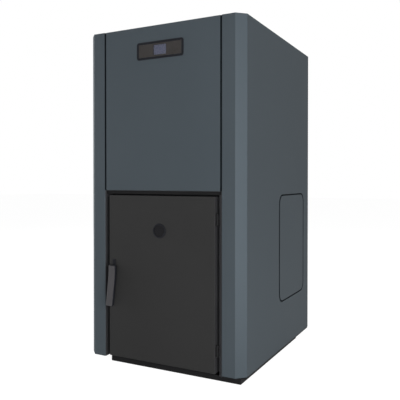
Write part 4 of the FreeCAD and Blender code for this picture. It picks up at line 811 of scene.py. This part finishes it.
def threadLine(shape, radius, end):
    pitch, root = shape["pitch"] * mm, radius - shape["depth"] * mm
    inward, bottom, outward = (share * pitch for share in pipeShape["flanks"])
    turns = int(shape["thread"] * mm / pitch)
    line = []
    for i in range(turns):
        start = end - (turns - i) * pitch - pipeShape["threadEnd"] * mm
        line += [(radius, start), (root, start + inward), (root, start + bottom), (radius, start + outward)]
    return line + [(root, end)]


def beadLine(shape, radius, end):
    rise, half, edge = shape["rise"] * mm, shape["half"] * mm, pipeShape["endEdge"] * mm
    middle = end - shape["bead"] * mm
    swings = [math.pi * i / pipeShape["beadSteps"] for i in range(pipeShape["beadSteps"] + 1)]
    line = [(radius + rise * math.sin(swing), middle - half * math.cos(swing)) for swing in swings]
    return line + [(radius, end - edge), (radius - edge, end)]


def buildPipe(node):
    low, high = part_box(node)
    shape = pipeShape[node]
    cover = (high.x - low.x) / 2
    radius = cover - pipeShape["ring"] * mm
    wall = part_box("rear_panel")[1].y
    proud, edge = wall + pipeShape["ringDepth"] * mm, pipeShape["ringEdge"] * mm
    line = [(radius, low.y), (radius, wall), (cover, wall), (cover, proud - edge), (cover - edge, proud)]
    line += [(radius + out * mm, proud + along * mm) for out, along in pipeShape["fillet"]]
    finishEnd = threadLine if "thread" in shape else beadLine
    line += finishEnd(shape, radius, high.y)
    bore = radius - shape["wall"] * mm
    line += [(bore, high.y), (bore, low.y)]
    bm = bmesh.new()
    turn(bm, line, ((low.x + high.x) / 2, (low.z + high.z) / 2))
    addPiece(node + "_finished", bm, [slotOf[node]], bodyOf[node], node)


for node in ("flow_pipe", "return_pipe", "flue_pipe", "air_pipe"):
    buildPipe(node)


# rear panel screws: six domed heads with a cross recess

screwShape = {
    "radius": 6.0, "height": 3.0, "brim": 0.25, "domeSteps": 10, "steps": 40,
    "reach": 3.3, "slot": 0.7, "recess": 1.5,
}


def buildScrews():
    low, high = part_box("rear_panel_screws")
    radius, tall, slot, reach = (screwShape[key] * mm for key in ("radius", "height", "slot", "reach"))
    brim, domeSteps = screwShape["brim"], screwShape["domeSteps"]
    swings = [math.pi / 2 * i / domeSteps for i in range(domeSteps + 1)]
    dome = [(radius * math.sin(swing), tall * (brim + (1 - brim) * math.cos(swing))) for swing in swings]
    bm = bmesh.new()
    turn(bm, dome + [(radius, 0), (0, 0)], (0, 0), screwShape["steps"], closed=False)
    for axis in (0, 2):
        for offset in (-reach, -slot, slot, reach):
            cutAcross(bm, axis, offset)
    bm.normal_update()
    cross = []
    for face in bm.faces:
        middle = face.calc_center_median()
        near, far = sorted((abs(middle.x), abs(middle.z)))
        if face.normal.y > facing["upward"] and near < slot and far < reach:
            cross.append(face)
    pushFaces(bm, cross, (0, -screwShape["recess"] * mm, 0))
    bmesh.ops.recalc_face_normals(bm, faces=bm.faces)
    first = everything(bm)
    for x in (low.x + radius, high.x - radius):
        for z in (low.z + radius, (low.z + high.z) / 2, high.z - radius):
            copied = bmesh.ops.duplicate(bm, geom=first)["geom"]
            bmesh.ops.translate(bm, vec=(x, low.y, z), verts=vertsOf(copied))
    bmesh.ops.delete(bm, geom=vertsOf(first), context="VERTS")
    addPiece("rear_screws", bm, ["plain_steel"], "boiler", "rear_panel_screws")


buildScrews()


# mains inlet: the moulding with three flat pins in its socket

inletShape = {
    "edge": 0.5, "floorDepth": 14.0, "socketDrop": 12.0,
    "pins": [(-7.0, 2.0), (0.0, -2.0), (7.0, 2.0)], "pinHalf": (1.0, 2.0),
    "pinLength": 11.0, "pinSunk": 1.0, "pinEdge": 0.5,
}


def buildInlet():
    low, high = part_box("power_inlet")
    bm = copyNode("power_inlet")
    breakEdges(bm, inletShape["edge"])
    moulding = set(bm.faces)
    floor = high.y - inletShape["floorDepth"] * mm
    root, tip = floor - inletShape["pinSunk"] * mm, floor + inletShape["pinLength"] * mm
    halfX, halfZ = (value * mm for value in inletShape["pinHalf"])
    for dx, dz in inletShape["pins"]:
        x = (low.x + high.x) / 2 + dx * mm
        z = (low.z + high.z) / 2 - inletShape["socketDrop"] * mm + dz * mm
        pin = newBlock(bm, (x - halfX, root, z - halfZ), (x + halfX, tip, z + halfZ))
        roundEdges(bm, list({edge for vert in pin for edge in vert.link_edges}), inletShape["pinEdge"])
    for face in bm.faces:
        face.material_index = int(face not in moulding)
    addPiece("power_inlet_finished", bm, ["black_plastic", "plain_steel"], "boiler", "power_inlet")


buildInlet()
print("pipes, screws and inlet done")


# the way to a place that lies round to the right of the front by azimuth and up by rise, in degrees
def towards(azimuth, rise):
    azimuth, rise = math.radians(azimuth), math.radians(rise)
    return Vector((math.sin(azimuth) * math.cos(rise), -math.cos(azimuth) * math.cos(rise), math.sin(rise)))


# camera and lamps look along their own -Z
def putInScene(name, data, location, ahead):
    piece = bpy.data.objects.new(name, data)
    piece.location = location
    piece.rotation_euler = ahead.to_track_quat("-Z", "Y").to_euler()
    bpy.context.scene.collection.objects.link(piece)
    return piece


# camera, as the photograph was taken: place in metres, lens and sensor in mm, rise below 0 looks down

view = {
    "place": (1.0977, -2.1635, 0.7413), "azimuth": 27.633, "rise": -0.683,
    "lens": 48.33, "sensor": 36.0, "shift": -0.034,
}


def buildCamera():
    camera = bpy.data.cameras.new("camera")
    camera.sensor_width = view["sensor"]
    camera.lens = view["lens"]
    camera.shift_y = view["shift"]
    ahead = -towards(view["azimuth"], -view["rise"])
    bpy.context.scene.camera = putInScene("camera", camera, view["place"], ahead)


# studio: white all round; a tall strip at the right catches the chamfer and a small low lamp its foot,
# the key lights the front, and the left, the back and the top have a lamp each

studio = {
    "ambient": 0.15, "backdrop": 1.0, "aimHeight": 0.7,
    "floorTint": 0.86, "floorGlow": 0.8, "floorStrength": 1.2, "floorSize": 20.0,
}
lamps = {
    "strip": {"azimuth": 50.0, "rise": 3.0, "distance": 4.0, "size": (1.1, 2.6), "power": 112.0},
    "low": {"azimuth": 58.0, "rise": -20.0, "distance": 1.7, "size": (0.8, 0.3), "power": 3.5},
    "key": {"azimuth": 20.0, "rise": 5.0, "distance": 5.0, "size": (2.4, 2.4), "power": 72.0},
    "left": {"azimuth": -80.0, "rise": 8.0, "distance": 5.0, "size": (2.4, 2.4), "power": 165.0},
    "back": {"azimuth": -150.0, "rise": 20.0, "distance": 5.0, "size": (3.0, 3.0), "power": 90.0},
    "top": {"azimuth": 0.0, "rise": 82.0, "distance": 4.0, "size": (2.0, 2.0), "power": 50.0},
}


# 1 for what the camera sees, straight, in gloss or through glass
def seenDirectly(tree):
    path = tree.nodes.new("ShaderNodeLightPath")
    seen = combine(tree, "MAXIMUM", path.outputs["Is Camera Ray"], path.outputs["Is Glossy Ray"])
    return combine(tree, "MAXIMUM", seen, path.outputs["Is Transmission Ray"])


def buildWorld():
    world = bpy.data.worlds.new("studio")
    bpy.context.scene.world = world
    world.use_nodes = True
    tree = world.node_tree
    background = tree.nodes["Background"]
    background.inputs["Color"].default_value = (1, 1, 1, 1)
    strength = remap(tree, seenDirectly(tree), (0.0, 1.0), (studio["ambient"], studio["backdrop"]))
    tree.links.new(strength, background.inputs["Strength"])


def buildFloor():
    bm = bmesh.new()
    bmesh.ops.create_grid(bm, x_segments=8, y_segments=8, size=studio["floorSize"])
    mesh = bpy.data.meshes.new("floor")
    bm.to_mesh(mesh)
    bm.free()
    material, tree, shader = startFinish("floor")
    shader.inputs["Base Color"].default_value = (studio["floorTint"],) * 3 + (1,)
    shader.inputs["Roughness"].default_value = 0.9
    shader.inputs["Specular IOR Level"].default_value = 0.0
    glow = tree.nodes.new("ShaderNodeEmission")
    glow.inputs["Strength"].default_value = studio["floorStrength"]
    mix = tree.nodes.new("ShaderNodeMixShader")
    tree.links.new(combine(tree, "MULTIPLY", seenDirectly(tree), studio["floorGlow"]), mix.inputs["Fac"])
    tree.links.new(shader.outputs["BSDF"], mix.inputs[1])
    tree.links.new(glow.outputs["Emission"], mix.inputs[2])
    tree.links.new(mix.outputs["Shader"], tree.nodes["Material Output"].inputs["Surface"])
    mesh.materials.append(material)
    floor = bpy.data.objects.new("floor", mesh)
    bpy.context.scene.collection.objects.link(floor)


def hangLamp(name, lamp):
    light = bpy.data.lights.new(name, "AREA")
    light.shape = "RECTANGLE"
    light.size, light.size_y = lamp["size"]
    light.energy = lamp["power"]
    away = towards(lamp["azimuth"], lamp["rise"])
    putInScene(name, light, Vector((0, 0, studio["aimHeight"])) + away * lamp["distance"], -away)


buildCamera()
buildWorld()
buildFloor()
for name, lamp in lamps.items():
    hangLamp(name, lamp)
bpy.context.scene.view_settings.view_transform = "Standard"
print("camera and studio done")
